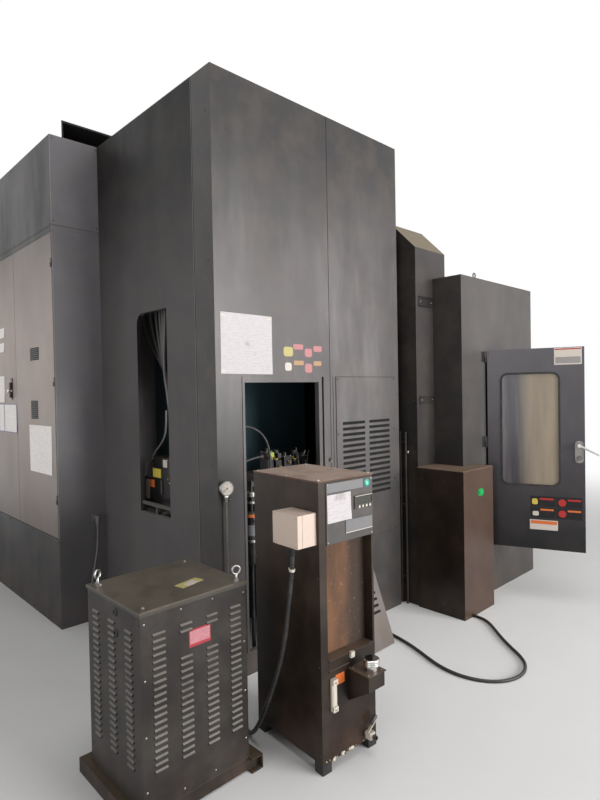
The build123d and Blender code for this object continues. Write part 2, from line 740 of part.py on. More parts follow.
def gauge_tube():
    """Tube from the gauge's nut down the front face and back into it, held by a clamp block."""
    y = -GAUGE_OFF - GAUGE_DEPTH / 2
    top = GAUGE_Z - GAUGE_RADIUS
    foot = GAUGE_TUBE_BOTTOM
    path = FilletPolyline((GAUGE_X, y, top), (GAUGE_X, y, foot), (GAUGE_X, 0, foot), radius=GAUGE_BEND)
    start = Plane(origin=path @ 0, z_dir=path % 0)
    line = sweep(start * Circle(GAUGE_TUBE_RADIUS), path=path)
    nut = extrude(Pos(GAUGE_X, y, top - GAUGE_NUT_HEIGHT) * RegularPolygon(GAUGE_NUT_RADIUS, 6),
                  amount=GAUGE_NUT_HEIGHT)
    front = y - GAUGE_TUBE_RADIUS - GAUGE_CLAMP_WALL
    clamp_z = top - GAUGE_CLAMP_DROP - GAUGE_CLAMP_HEIGHT
    left = GAUGE_X - GAUGE_CLAMP_WIDTH / 2
    clamp = block(left, front, clamp_z, GAUGE_CLAMP_WIDTH, -front, GAUGE_CLAMP_HEIGHT)
    clamp = chamfer(clamp.edges().filter_by(Axis.Z).sort_by(Axis.Y)[:2], GAUGE_CLAMP_WALL / 2)
    return line + nut + clamp


def back_seams(x, width, y, height):
    """Grooves of the upright seams in a housing's back face, as solids to cut away."""
    pitch = width / HOUSING_BAYS
    seams = []
    for index in range(1, HOUSING_BAYS):
        middle = x + index * pitch
        seams.append(block(middle - SEAM / 2, y - SEAM_DEPTH, -CUT, SEAM, SEAM_DEPTH + CUT, height + 2 * CUT))
    return seams


def rear_housing():
    """Closed tall housing behind the column enclosure, with panel seams in its back and right side."""
    housing = block(0, COLUMN_DEPTH, 0, COLUMN_WIDTH, HOUSING_DEPTH, COLUMN_HEIGHT)
    housing -= back_seams(0, COLUMN_WIDTH, COLUMN_DEPTH + HOUSING_DEPTH, COLUMN_HEIGHT)
    seam_y = COLUMN_DEPTH + HOUSING_DEPTH / 2 - SEAM / 2
    seam_x = COLUMN_WIDTH - SEAM_DEPTH
    upper = COLUMN_HEIGHT - LOW_HOUSING_HEIGHT + CUT
    return housing - block(seam_x, seam_y, LOW_HOUSING_HEIGHT, SEAM_DEPTH + CUT, SEAM, upper)


def low_housing():
    """Closed lower housing behind the tower and the tool magazine, with panel seams."""
    width = MAGAZINE_X + MAGAZINE_WIDTH - COLUMN_WIDTH
    housing = block(COLUMN_WIDTH, COLUMN_DEPTH, 0, width, HOUSING_DEPTH, LOW_HOUSING_HEIGHT)
    housing -= back_seams(COLUMN_WIDTH, width, COLUMN_DEPTH + HOUSING_DEPTH, LOW_HOUSING_HEIGHT)
    seam_x = COLUMN_WIDTH + width - SEAM_DEPTH
    seam_y = COLUMN_DEPTH + HOUSING_DEPTH / 2 - SEAM / 2
    return housing - block(seam_x, seam_y, -CUT, SEAM_DEPTH + CUT, SEAM, LOW_HOUSING_HEIGHT + 2 * CUT)


def roof_hood():
    """Hood on the roof of the cabinet and the housing, open at the front."""
    hood = block(HOOD_X, HOOD_Y, COLUMN_HEIGHT, HOOD_WIDTH, HOOD_DEPTH, HOOD_HEIGHT)
    width = HOOD_WIDTH - 2 * HOOD_WALL
    depth = HOOD_DEPTH - HOOD_WALL + CUT
    height = HOOD_HEIGHT - HOOD_WALL + CUT
    return hood - block(HOOD_X + HOOD_WALL, HOOD_Y - CUT, COLUMN_HEIGHT - CUT, width, depth, height)


def cabinet_plinth():
    """Closed base under the electrical cabinet."""
    return block(-CABINET_DEPTH, COLUMN_DEPTH, 0, CABINET_DEPTH, HOUSING_DEPTH, CABINET_FLOOR_Z)


def cabinet_top():
    """Closed top box of the electrical cabinet, with a recessed band under it."""
    inset = CABINET_BAND_RECESS
    z = CABINET_CEILING_Z + CABINET_BAND
    box = block(-CABINET_DEPTH, COLUMN_DEPTH, z, CABINET_DEPTH, HOUSING_DEPTH, COLUMN_HEIGHT - z)
    band_depth = HOUSING_DEPTH - 2 * inset
    band_width = CABINET_DEPTH - inset
    box += block(-band_width, COLUMN_DEPTH + inset, CABINET_CEILING_Z, band_width, band_depth, CABINET_BAND)
    return box


def cabinet_wall(y):
    """Side wall of the electrical cabinet, from its near face."""
    height = CABINET_CEILING_Z - CABINET_FLOOR_Z
    return block(-CABINET_DEPTH, y, CABINET_FLOOR_Z, CABINET_DEPTH, CABINET_WALL, height)


def cabinet_back():
    """Mounting plate at the back of the electrical cabinet."""
    height = CABINET_CEILING_Z - CABINET_FLOOR_Z
    depth = HOUSING_DEPTH - 2 * CABINET_WALL
    return block(-CABINET_BACK, COLUMN_DEPTH + CABINET_WALL, CABINET_FLOOR_Z, CABINET_BACK, depth, height)


def cabinet_hinge_y(side):
    """Y of the hinge axis of the near leaf (side 1) or the far leaf (side -1)."""
    wall_face = CABINET_WALL + LEAF_SIDE_GAP / 2
    return COLUMN_DEPTH + wall_face if side > 0 else COLUMN_DEPTH + HOUSING_DEPTH - wall_face


def cabinet_knuckles(side, strap_side, low, high):
    """Knuckles on a cabinet leaf's hinge axis, each with a strap to the leaf or to the wall."""
    axis_x = -CABINET_DEPTH - HINGE_OUT
    axis_y = cabinet_hinge_y(side)
    reach = strap_side * side * HINGE_STRAP
    knuckles = []
    for height in HINGE_HEIGHTS:
        z = height + low * HINGE_LENGTH
        length = (high - low) * HINGE_LENGTH
        barrel = drum(axis_x, axis_y, z, HINGE_RADIUS, length)
        strap = block(axis_x, min(axis_y, axis_y + reach), z, HINGE_OUT, HINGE_STRAP, length)
        knuckles.append(barrel + strap)
    return knuckles


def cabinet_leaf(side):
    """Near (side 1) or far (side -1) door leaf of the electrical cabinet, with its knuckles."""
    hinge_end = cabinet_hinge_y(side) + side * LEAF_SIDE_GAP / 2
    free_end = LEAF_MEETING_Y - side * LEAF_GAP / 2
    bottom = CABINET_FLOOR_Z + LEAF_GAP
    height = CABINET_CEILING_Z - CABINET_FLOOR_Z - 2 * LEAF_GAP
    width = abs(free_end - hinge_end)
    leaf = block(-CABINET_DEPTH, min(hinge_end, free_end), bottom, LEAF_THICKNESS, width, height)
    for knuckle in cabinet_knuckles(side, 1, 0.5, 1):
        leaf += knuckle
    return leaf


def leaf_grilles():
    """Slots of the near leaf's two grilles, as solids to cut away."""
    slots = []
    for y, bottom, width, rows in LEAF_GRILLES:
        for row in range(rows):
            z = bottom + row * GRILLE_PITCH
            slots.append(block(-CABINET_DEPTH - CUT, y, z, GRILLE_DEPTH + CUT, width, GRILLE_SLOT))
    return slots


def cabinet_handle():
    """Swing handle on the far leaf of the electrical cabinet."""
    face = -CABINET_DEPTH - HANDLE_PLATE
    plate = block(face, HANDLE_Y, HANDLE_BOTTOM, HANDLE_PLATE, HANDLE_WIDTH, HANDLE_HEIGHT)
    plate = fillet(plate.edges().filter_by(Axis.X), HANDLE_WIDTH / 3)
    grip_width = HANDLE_WIDTH - 2 * GRIP_INSET
    grip_y = HANDLE_Y + GRIP_INSET
    grip = block(face - GRIP_DEPTH, grip_y, HANDLE_BOTTOM + GRIP_DROP, GRIP_DEPTH, grip_width, GRIP_LENGTH)
    front = grip.edges().group_by(Axis.X)[0]
    return plate + fillet(front, grip_width / 3)


def cabinet_gland():
    """Cable outlet on the cabinet's front: a plate, a stub and its downward elbow."""
    half = GLAND_PLATE / 2
    plate_y = GLAND_OUT - GLAND_PLATE_THICKNESS
    gland = block(-half, plate_y, -half, GLAND_PLATE, GLAND_PLATE_THICKNESS, GLAND_PLATE)
    gland += front_drum(0, 0, 0, GLAND_RADIUS, GLAND_OUT)
    gland += Sphere(GLAND_RADIUS)
    gland += drum(0, 0, -GLAND_DROP, GLAND_RADIUS, GLAND_DROP)
    return Pos(GLAND_X, COLUMN_DEPTH - GLAND_OUT, GLAND_Z) * gland


def tower():
    """Closed tower with a roof that rises towards the back."""
    top = TOWER_FRONT_HEIGHT + TOWER_RISE
    outline = [(TOWER_Y, 0), (COLUMN_DEPTH, 0), (COLUMN_DEPTH, top), (TOWER_Y + TOWER_RISE, top),
               (TOWER_Y, TOWER_FRONT_HEIGHT)]
    return side_profile(outline, TOWER_X, TOWER_WIDTH)


def tower_straps():
    """Channels across the tower's front to the magazine cabinet, their flanges to the front."""
    x = TOWER_X + STRAP_X
    width = MAGAZINE_X - x
    depth = STRAP_FLANGE - STRAP_THICKNESS + CUT
    front = TOWER_Y - STRAP_FLANGE
    straps = []
    for level, height in STRAP_LEVELS:
        channel = block(x, front, level, width, STRAP_FLANGE, height)
        z = level + STRAP_THICKNESS
        hollow = height - 2 * STRAP_THICKNESS
        straps.append(channel - block(x - CUT, front - CUT, z, width + 2 * CUT, depth, hollow))
    return straps


def tower_pipes():
    """Two pipes on clips at the tower's left side, with a valve knob."""
    x = TOWER_X - SERVICE_PIPE_OFF
    near, far = SERVICE_PIPE_Y
    pipes = [drum(x, y, 0, SERVICE_PIPE_RADIUS, SERVICE_PIPE_TOP) for y in SERVICE_PIPE_Y]
    for z in SERVICE_CLIPS:
        pipes.append(block(x, near, z, SERVICE_PIPE_OFF, far - near, SERVICE_CLIP_HEIGHT))
    knob_y = near - SERVICE_PIPE_RADIUS - SERVICE_KNOB_LENGTH
    stem = SERVICE_KNOB_LENGTH + SERVICE_PIPE_RADIUS
    pipes.append(front_drum(x, knob_y, SERVICE_KNOB_Z, SERVICE_KNOB_RADIUS, stem))
    return pipes[0] + pipes[1:]


def magazine_front():
    """Front wall of the tool magazine cabinet, with its doorway."""
    wall = block(MAGAZINE_X, MAGAZINE_Y, 0, MAGAZINE_WIDTH, MAGAZINE_WALL, MAGAZINE_HEIGHT)
    height = DOORWAY_TOP - DOORWAY_BOTTOM
    depth = MAGAZINE_WALL + 2 * CUT
    return wall - block(DOORWAY_X, MAGAZINE_Y - CUT, DOORWAY_BOTTOM, DOORWAY_WIDTH, depth, height)


def magazine_left():
    """Short left wall of the tool magazine cabinet, in front of the tower."""
    y = MAGAZINE_Y + MAGAZINE_WALL
    return block(MAGAZINE_X, y, 0, MAGAZINE_WALL, TOWER_Y - y, MAGAZINE_HEIGHT)


def magazine_right():
    """Right wall of the tool magazine cabinet."""
    y = MAGAZINE_Y + MAGAZINE_WALL
    x = MAGAZINE_X + MAGAZINE_WIDTH - MAGAZINE_WALL
    return block(x, y, 0, MAGAZINE_WALL, COLUMN_DEPTH - y, MAGAZINE_HEIGHT)


def magazine_back():
    """Back wall of the tool magazine cabinet, between the tower and the right wall."""
    x = TOWER_X + TOWER_WIDTH
    width = MAGAZINE_X + MAGAZINE_WIDTH - MAGAZINE_WALL - x
    return block(x, COLUMN_DEPTH - MAGAZINE_WALL, 0, width, MAGAZINE_WALL, MAGAZINE_HEIGHT)


def magazine_roof():
    """Roof plate of the tool magazine cabinet, set between its walls, with a lifting eye."""
    y = MAGAZINE_Y + MAGAZINE_WALL
    z = MAGAZINE_HEIGHT - MAGAZINE_WALL
    right = MAGAZINE_X + MAGAZINE_WIDTH - MAGAZINE_WALL
    x = MAGAZINE_X + MAGAZINE_WALL
    front = block(x, y, z, right - x, TOWER_Y - y, MAGAZINE_WALL)
    x = TOWER_X + TOWER_WIDTH
    rear = block(x, TOWER_Y, z, right - x, COLUMN_DEPTH - MAGAZINE_WALL - TOWER_Y, MAGAZINE_WALL)
    return front + rear + lifting_eye(MAGAZINE_X + ROOF_EYE_X, MAGAZINE_Y + ROOF_EYE_Y, MAGAZINE_HEIGHT)


def door_place():
    """Place of the magazine door: its axis, turned open. Its own X runs along the leaf."""
    return Pos(DOOR_AXIS_X, DOOR_AXIS_Y, 0) * Rot(0, 0, -DOOR_OPEN)


def window_plate(margin, thickness):
    """Rounded plate the shape of the door's window, wider by a margin all round."""
    middle_x = WINDOW_X + WINDOW_WIDTH / 2
    middle_z = WINDOW_BOTTOM + WINDOW_HEIGHT / 2
    width = WINDOW_WIDTH + 2 * margin
    height = WINDOW_HEIGHT + 2 * margin
    return Pos(middle_x, 0, middle_z) * rounded_plate(width, height, WINDOW_CORNER + margin, thickness)


def magazine_door():
    """Door leaf with its window cut through, on its three knuckles."""
    start = BARREL_RADIUS + BARREL_CLEAR
    height = DOOR_TOP - DOOR_BOTTOM
    leaf = block(start, -DOOR_THICKNESS / 2, DOOR_BOTTOM, DOOR_WIDTH - start, DOOR_THICKNESS, height)
    leaf -= window_plate(0, DOOR_THICKNESS + 2 * CUT)
    for height in BARREL_HEIGHTS:
        z = height + BARREL_LENGTH / 2
        leaf += drum(0, 0, z, BARREL_RADIUS, BARREL_LENGTH / 2)
        leaf += block(0, -BARREL_STRAP / 2, z, start + BARREL_CLEAR, BARREL_STRAP, BARREL_LENGTH / 2)
    return door_place() * leaf


def door_hinges():
    """Fixed knuckles of the magazine door, each on a plate on the cabinet's front wall."""
    wall = MAGAZINE_Y - DOOR_AXIS_Y
    length = BARREL_LENGTH / 2 - RUNNING_GAP
    hinges = []
    for height in BARREL_HEIGHTS:
        hinge = drum(0, 0, height, BARREL_RADIUS, length)
        hinge += block(-BARREL_RADIUS, 0, height, BARREL_RADIUS, wall, length)
        hinge += block(-BARREL_PLATE, wall - BARREL_STRAP, height, BARREL_PLATE, BARREL_STRAP, BARREL_LENGTH)
        hinges.append(Pos(DOOR_AXIS_X, DOOR_AXIS_Y, 0) * hinge)
    return hinges


def door_gasket():
    """Rubber section round the window, clipped over the leaf's edge on both faces."""
    proud = DOOR_THICKNESS + 2 * GASKET_PROUD
    ring = window_plate(GASKET_WIDTH / 2, proud) - window_plate(-GASKET_WIDTH / 2, proud + 2 * CUT)
    groove = window_plate(GASKET_WIDTH, DOOR_THICKNESS) - window_plate(0, DOOR_THICKNESS + 2 * CUT)
    seat = window_plate(-GASKET_WIDTH / 4, GLASS)
    return door_place() * (ring - groove - seat)


def door_glass():
    """Pane in the gasket."""
    return door_place() * window_plate(-GASKET_WIDTH / 4, GLASS)


def lock_plate():
    """Round-ended plate of the door's lock, with the boss of its key."""
    back = -DOOR_THICKNESS / 2
    middle_x = LOCK_X + LOCK_WIDTH / 2
    middle_z = LOCK_BOTTOM + LOCK_HEIGHT / 2
    plate = rounded_plate(LOCK_WIDTH, LOCK_HEIGHT, LOCK_CORNER, LOCK_THICKNESS)
    plate = Pos(middle_x, back - LOCK_THICKNESS / 2, middle_z) * plate
    front = back - LOCK_THICKNESS - KEY_PROUD
    key_z = LOCK_BOTTOM + KEY_RISE
    plate += front_drum(middle_x, front, key_z, KEY_RADIUS, KEY_PROUD)
    slot_x = middle_x - KEY_SLOT / 2
    slot_z = key_z - KEY_RADIUS / 2
    plate -= block(slot_x, front - CUT, slot_z, KEY_SLOT, KEY_PROUD + CUT, KEY_RADIUS)
    return door_place() * plate


def door_lever():
    """Lever of the door's lock: a round hub and a tapering arm with a round end."""
    back = -DOOR_THICKNESS / 2 - LOCK_THICKNESS - RUNNING_GAP
    hub = front_drum(LEVER_X, back - LEVER_HUB_LENGTH, LEVER_Z, LEVER_HUB_RADIUS, LEVER_HUB_LENGTH)
    arm_y = back - LEVER_HUB_LENGTH + LEVER_ROOT_RADIUS
    tip = (LEVER_X + LEVER_REACH_X, arm_y, LEVER_Z - LEVER_DROP)
    arm = tapered_bar((LEVER_X, arm_y, LEVER_Z), tip, LEVER_ROOT_RADIUS, LEVER_TIP_RADIUS)
    return door_place() * (hub + arm + Pos(*tip) * Sphere(LEVER_TIP_RADIUS))


def low_box():
    """Closed low box that fits round the corner of the magazine cabinet, its top edges rounded."""
    right = LOW_BOX_X + LOW_BOX_WIDTH
    outline = Polyline((LOW_BOX_X, LOW_BOX_Y), (right, LOW_BOX_Y), (right, MAGAZINE_Y),
                       (MAGAZINE_X, MAGAZINE_Y), (MAGAZINE_X, TOWER_Y), (LOW_BOX_X, TOWER_Y), close=True)
    box = extrude(make_face(outline), amount=LOW_BOX_HEIGHT)
    front = box.edges().group_by(Axis.Z)[-1].filter_by(Axis.X).sort_by(Axis.Y)[0]
    left = box.edges().group_by(Axis.Z)[-1].filter_by(Axis.Y).sort_by(Axis.X)[0]
    return fillet([front, left], LOW_BOX_EDGE)


def low_box_lamp():
    """Small lamp on the low box's front, with a wider rim."""
    lens = rounded_plate(LAMP_WIDTH - 2 * LAMP_RIM, LAMP_HEIGHT - 2 * LAMP_RIM, LAMP_HEIGHT / 4, LAMP_DEPTH)
    rim = rounded_plate(LAMP_WIDTH, LAMP_HEIGHT, LAMP_HEIGHT / 3, LAMP_RIM_DEPTH)
    lamp = Pos(0, -LAMP_DEPTH / 2, 0) * lens + Pos(0, -LAMP_RIM_DEPTH / 2, 0) * rim
    return Pos(LAMP_X, LOW_BOX_Y, LAMP_Z) * lamp


def cooler_place():
    """Place of the oil cooler. Its own X runs along its front and its own Y to its back."""
    return Pos(COOLER_X, COOLER_Y, 0) * Rot(0, 0, COOLER_TURN)


def cooler_body():
    """Cooler's case, with the recess of its filter screen and the rail and ledge under it."""
    case = block(0, 0, COOLER_LIFT, COOLER_WIDTH, COOLER_DEPTH, COOLER_HEIGHT - COOLER_LID - COOLER_LIFT)
    case -= block(SCREEN_X, -CUT, SCREEN_BOTTOM, SCREEN_WIDTH, SCREEN_DEPTH + CUT, SCREEN_HEIGHT)
    rail_z = SCREEN_BOTTOM - RAIL_DROP
    rail = block(SCREEN_X, -RAIL_PROUD, rail_z, RAIL_WIDTH, RAIL_PROUD, RAIL_DROP)
    hollow = RAIL_DROP - 2 * RAIL_EDGE
    groove_z = rail_z + RAIL_EDGE
    rail -= block(SCREEN_X - CUT, -RAIL_PROUD - CUT, groove_z, RAIL_WIDTH + 2 * CUT, RAIL_PROUD, hollow)
    ledge = block(LEDGE_X, -RAIL_PROUD, SCREEN_BOTTOM - LEDGE_HEIGHT, LEDGE_WIDTH, RAIL_PROUD, LEDGE_HEIGHT)
    return cooler_place() * (case + rail + ledge)


def cooler_lid():
    """Cooler's lid, a little wider than the case."""
    width = COOLER_WIDTH + 2 * COOLER_LID_LIP
    depth = COOLER_DEPTH + 2 * COOLER_LID_LIP
    lid = block(-COOLER_LID_LIP, -COOLER_LID_LIP, COOLER_HEIGHT - COOLER_LID, width, depth, COOLER_LID)
    return cooler_place() * lid


def cooler_feet():
    """Four feet under the cooler."""
    feet = []
    for x in (0, COOLER_WIDTH - FOOT):
        for y in (0, COOLER_DEPTH - FOOT):
            feet.append(cooler_place() * block(x, y, 0, FOOT, FOOT, COOLER_LIFT))
    return feet


def cooler_screen():
    """Filter screen at the back of its recess."""
    y = SCREEN_DEPTH - SCREEN_THICKNESS
    screen = block(SCREEN_X, y, SCREEN_BOTTOM, SCREEN_WIDTH, SCREEN_THICKNESS, SCREEN_HEIGHT)
    return cooler_place() * screen


def cooler_control():
    """Control panel over the screen: a plate with a framed display, a row of buttons and a raised plate."""
    panel = block(CONTROL_X, -CONTROL_PROUD, CONTROL_BOTTOM, CONTROL_WIDTH, CONTROL_PROUD, CONTROL_HEIGHT)
    front = -CONTROL_PROUD - BEZEL_PROUD
    bezel = block(BEZEL_X, front, BEZEL_BOTTOM, BEZEL_WIDTH, BEZEL_PROUD, BEZEL_HEIGHT)
    bezel = chamfer(bezel.edges().group_by(Axis.Y)[0], BEZEL_RIM / 2)
    button_z = BEZEL_BOTTOM + BEZEL_RIM
    display_z = button_z + BUTTON_SIZE + BEZEL_RIM
    height = BEZEL_BOTTOM + BEZEL_HEIGHT - BEZEL_RIM - display_z
    width = BEZEL_WIDTH - 2 * BEZEL_RIM
    bezel -= block(BEZEL_X + BEZEL_RIM, front - CUT, display_z, width, BEZEL_PROUD / 2 + CUT, height)
    first = BEZEL_X + (BEZEL_WIDTH - (BUTTON_COUNT - 1) * BUTTON_PITCH - BUTTON_SIZE) / 2
    for index in range(BUTTON_COUNT):
        x = first + index * BUTTON_PITCH
        bezel += block(x, front - BUTTON_PROUD, button_z, BUTTON_SIZE, BUTTON_PROUD, BUTTON_SIZE)
    plate_y = -CONTROL_PROUD - NAMEPLATE_PROUD
    plate = block(NAMEPLATE_X, plate_y, NAMEPLATE_BOTTOM, NAMEPLATE_WIDTH, NAMEPLATE_PROUD, NAMEPLATE_HEIGHT)
    return cooler_place() * (panel + bezel + plate)


def cooler_filler():
    """Filler on the cooler's front: a top plate over a box whose underside slopes to the case."""
    width = FILLER_WIDTH - 2 * FILLER_MARGIN
    under = FILLER_TOP - FILLER_PLATE
    front = -(FILLER_OUT - FILLER_MARGIN)
    outline = [(0, under), (front, under), (front, under - FILLER_FRONT_HEIGHT),
               (0, under - FILLER_BACK_HEIGHT)]
    box = side_profile(outline, FILLER_X + FILLER_MARGIN, width)
    plate = block(FILLER_X, -FILLER_OUT, under, FILLER_WIDTH, FILLER_OUT, FILLER_PLATE)
    return cooler_place() * (box + plate)


def breather_cap():
    """Filler's breather cap: a faceted base and a round head with a soft upper edge."""
    facets = RegularPolygon(CAP_BASE_RADIUS, CAP_BASE_SIDES)
    base = Pos(0, 0, FILLER_TOP) * extrude(facets, amount=CAP_BASE_HEIGHT)
    head = drum(0, 0, FILLER_TOP + CAP_BASE_HEIGHT, CAP_RADIUS, CAP_HEIGHT)
    head = fillet(head.edges().filter_by(GeomType.CIRCLE).sort_by(Axis.Z)[-1], CAP_EDGE)
    return cooler_place() * Pos(CAP_X, -CAP_OUT, 0) * (base + head)


def level_gauge():
    """Level gauge on the cooler's front, with its two end blocks."""
    gauge = block(LEVEL_X, -LEVEL_OUT, LEVEL_BOTTOM, LEVEL_WIDTH, LEVEL_OUT, LEVEL_HEIGHT)
    for z in (LEVEL_BOTTOM, LEVEL_BOTTOM + LEVEL_HEIGHT - LEVEL_END):
        gauge += block(LEVEL_X, -LEVEL_END_OUT, z, LEVEL_WIDTH, LEVEL_END_OUT, LEVEL_END)
    return gauge


def drain_valve():
    """Drain valve low on the cooler's front: a spout, its body and a sloping lever."""
    valve = front_drum(DRAIN_X, -DRAIN_OUT, DRAIN_Z, DRAIN_RADIUS, DRAIN_OUT)
    body_y = -DRAIN_OUT / 2 - DRAIN_BODY / 2
    half = DRAIN_BODY / 2
    valve += block(DRAIN_X - half, body_y, DRAIN_Z - half, DRAIN_BODY, DRAIN_BODY, DRAIN_BODY)
    lever = block(0, -DRAIN_LEVER_WIDTH / 2, 0, DRAIN_LEVER, DRAIN_LEVER_WIDTH, DRAIN_LEVER_THICKNESS)
    lever = Pos(DRAIN_X - half, -DRAIN_OUT / 2, DRAIN_Z + half) * Rot(0, -DRAIN_LEVER_SLOPE, 0) * lever
    return valve + lever


def cooler_fittings():
    """Level gauge, drain valve and latch block on the cooler's front."""
    latch_z = SCREEN_BOTTOM - LATCH_HEIGHT
    latch_x = SCREEN_X + RAIL_WIDTH
    latch = block(latch_x, -LATCH_PROUD, latch_z, LEDGE_X - latch_x, LATCH_PROUD, LATCH_HEIGHT)
    return [cooler_place() * piece for piece in (level_gauge(), drain_valve(), latch)]


def terminal_box():
    """Terminal box on the cooler's left side, its lid parted from its body by a groove."""
    box = block(-TERMINAL_OUT, TERMINAL_Y, TERMINAL_BOTTOM, TERMINAL_OUT, TERMINAL_WIDTH, TERMINAL_HEIGHT)
    box = fillet(box.edges().filter_by(Axis.X), TERMINAL_EDGE)
    depth = TERMINAL_WIDTH + 2 * CUT
    height = TERMINAL_HEIGHT + 2 * CUT
    groove_x = TERMINAL_LID - TERMINAL_OUT
    ring = block(groove_x, TERMINAL_Y - CUT, TERMINAL_BOTTOM - CUT, TERMINAL_GROOVE, depth, height)
    shrink = TERMINAL_GROOVE
    core_width = TERMINAL_WIDTH - 2 * shrink
    core_height = TERMINAL_HEIGHT - 2 * shrink
    ring -= block(groove_x - CUT, TERMINAL_Y + shrink, TERMINAL_BOTTOM + shrink, TERMINAL_GROOVE + 2 * CUT,
                  core_width, core_height)
    return cooler_place() * (box - ring)


def skid_channel(x, open_side):
    """One channel of the skid along Y, its hollow towards the right (open_side 1) or the left (-1)."""
    y = TRANSFORMER_Y - SKID_FRONT
    depth = SKID_FRONT + TRANSFORMER_DEPTH + SKID_BACK
    channel = block(x, y, 0, SKID_CHANNEL, depth, SKID_HEIGHT)
    inner = SKID_CHANNEL - SKID_WALL + CUT
    hollow_x = x + SKID_WALL if open_side > 0 else x - CUT
    return channel - block(hollow_x, y - CUT, SKID_WALL, inner, depth + 2 * CUT, SKID_HEIGHT - 2 * SKID_WALL)


def transformer_skid():
    """Base of the transformer: two channels joined by cross bars."""
    left = TRANSFORMER_X - SKID_LEFT
    right = TRANSFORMER_X + TRANSFORMER_WIDTH + SKID_RIGHT - SKID_CHANNEL
    skid = skid_channel(left, 1) + skid_channel(right, -1)
    first = left + SKID_WALL
    width = right + SKID_CHANNEL - SKID_WALL - first
    pitch = (TRANSFORMER_DEPTH - SKID_BAR_WIDTH) / (SKID_BARS - 1)
    for index in range(SKID_BARS):
        y = TRANSFORMER_Y + index * pitch
        skid += block(first, y, SKID_WALL, width, SKID_BAR_WIDTH, SKID_HEIGHT - SKID_WALL)
    return skid


def louvre_hood():
    """Outside of one pressed louvre on a sheet in the XZ plane, facing the front."""
    top = LOUVRE_HEIGHT
    outline = [(CUT, 0), (CUT, top), (0, top), (-LOUVRE_PROUD, LOUVRE_LIP), (-LOUVRE_PROUD, 0)]
    return side_profile(outline, -LOUVRE_LENGTH / 2, LOUVRE_LENGTH)


def louvre_mouth():
    """Hollow of one pressed louvre, open downwards under its lip."""
    sheet = LOUVRE_SHEET
    outline = [(sheet - LOUVRE_PROUD, -CUT), (sheet - LOUVRE_PROUD, LOUVRE_LIP - sheet),
               (LOUVRE_DEPTH, LOUVRE_HEIGHT - 2 * sheet), (LOUVRE_DEPTH, -CUT)]
    return side_profile(outline, sheet - LOUVRE_LENGTH / 2, LOUVRE_LENGTH - 2 * sheet)


def louvre_places():
    """Places of the louvres on the four sides of the transformer's case."""
    right = TRANSFORMER_X + TRANSFORMER_WIDTH
    back = TRANSFORMER_Y + TRANSFORMER_DEPTH
    places = []
    for row in range(LOUVRE_ROWS):
        z = LOUVRE_TOP - row * LOUVRE_PITCH - LOUVRE_HEIGHT
        for column, centre in enumerate(LOUVRE_FRONT_CENTRES):
            x = TRANSFORMER_X + centre
            if column not in PLATE_COLUMNS or row not in PLATE_ROWS:
                places.append(Pos(x, TRANSFORMER_Y, z))
            places.append(Pos(x, back, z) * Rot(0, 0, 180))
        for centre in LOUVRE_SIDE_CENTRES:
            y = TRANSFORMER_Y + centre
            places.append(Pos(TRANSFORMER_X, y, z) * Rot(0, 0, -90))
            places.append(Pos(right, y, z) * Rot(0, 0, 90))
    return places


def transformer_body():
    """Transformer's case with its columns of pressed louvres, leaving room for the rating plate."""
    height = TRANSFORMER_HEIGHT - LID_HEIGHT - SKID_HEIGHT
    case = block(TRANSFORMER_X, TRANSFORMER_Y, SKID_HEIGHT, TRANSFORMER_WIDTH, TRANSFORMER_DEPTH, height)
    places = louvre_places()
    hood = louvre_hood()
    mouth = louvre_mouth()
    case += [place * hood for place in places]
    return case - [place * mouth for place in places]


def transformer_lid():
    """Transformer's overhanging lid with a soft upper edge."""
    width = TRANSFORMER_WIDTH + 2 * LID_LIP
    depth = TRANSFORMER_DEPTH + 2 * LID_LIP
    z = TRANSFORMER_HEIGHT - LID_HEIGHT
    lid = block(TRANSFORMER_X - LID_LIP, TRANSFORMER_Y - LID_LIP, z, width, depth, LID_HEIGHT)
    return chamfer(lid.edges().group_by(Axis.Z)[-1], LID_LIP / 3)


def lifting_eyes():
    """Two lifting eyes on the transformer's lid."""
    middle = TRANSFORMER_X + TRANSFORMER_WIDTH / 2
    y = TRANSFORMER_Y + EYE_INSET
    return [lifting_eye(middle + side * EYE_SPACING / 2, y, TRANSFORMER_HEIGHT) for side in (-1, 1)]


def cooler_conduit():
    """Conduit from the terminal box down to the floor and back to the column enclosure."""
    low = CONDUIT_RADIUS + FLOOR_GAP
    return tube([(-204, -798, 957), (-204, -798, 900), (-202, -786, 832), (-203, -776, 762),
                 (-204, -764, 690), (-202, -750, 618), (-199, -732, 546), (-198, -711, 474),
                 (-199, -686, 402), (-199, -657, 332),
                 (-197, -624, 262), (-193, -588, 196), (-188, -550, 134), (-181, -512, 80), (-171, -470, 38),
                 (-156, -422, low), (-132, -362, low), (-98, -300, low), (-54, -246, low), (-4, -196, low),
                 (46, -140, low), (92, -76, low), (92, 0, low)], CONDUIT_RADIUS)


def floor_cable():
    """Cable from the low box out over the floor and back to the column enclosure."""
    low = CABLE_RADIUS + FLOOR_GAP
    return tube([(1772, -494, low), (1772, -562, low), (1732, -634, low), (1668, -704, low),
                 (1602, -772, low), (1538, -844, low), (1478, -920, low), (1420, -996, low),
                 (1348, -1056, low), (1258, -1086, low), (1164, -1082, low), (1078, -1040, low),
                 (1018, -968, low), (988, -880, low), (984, -788, low), (1002, -696, low),
                 (1036, -606, low), (1074, -516, low), (1106, -424, low), (1130, -330, low),
                 (1148, -236, low), (1154, -126, low), (1154, 0, low)], CABLE_RADIUS)


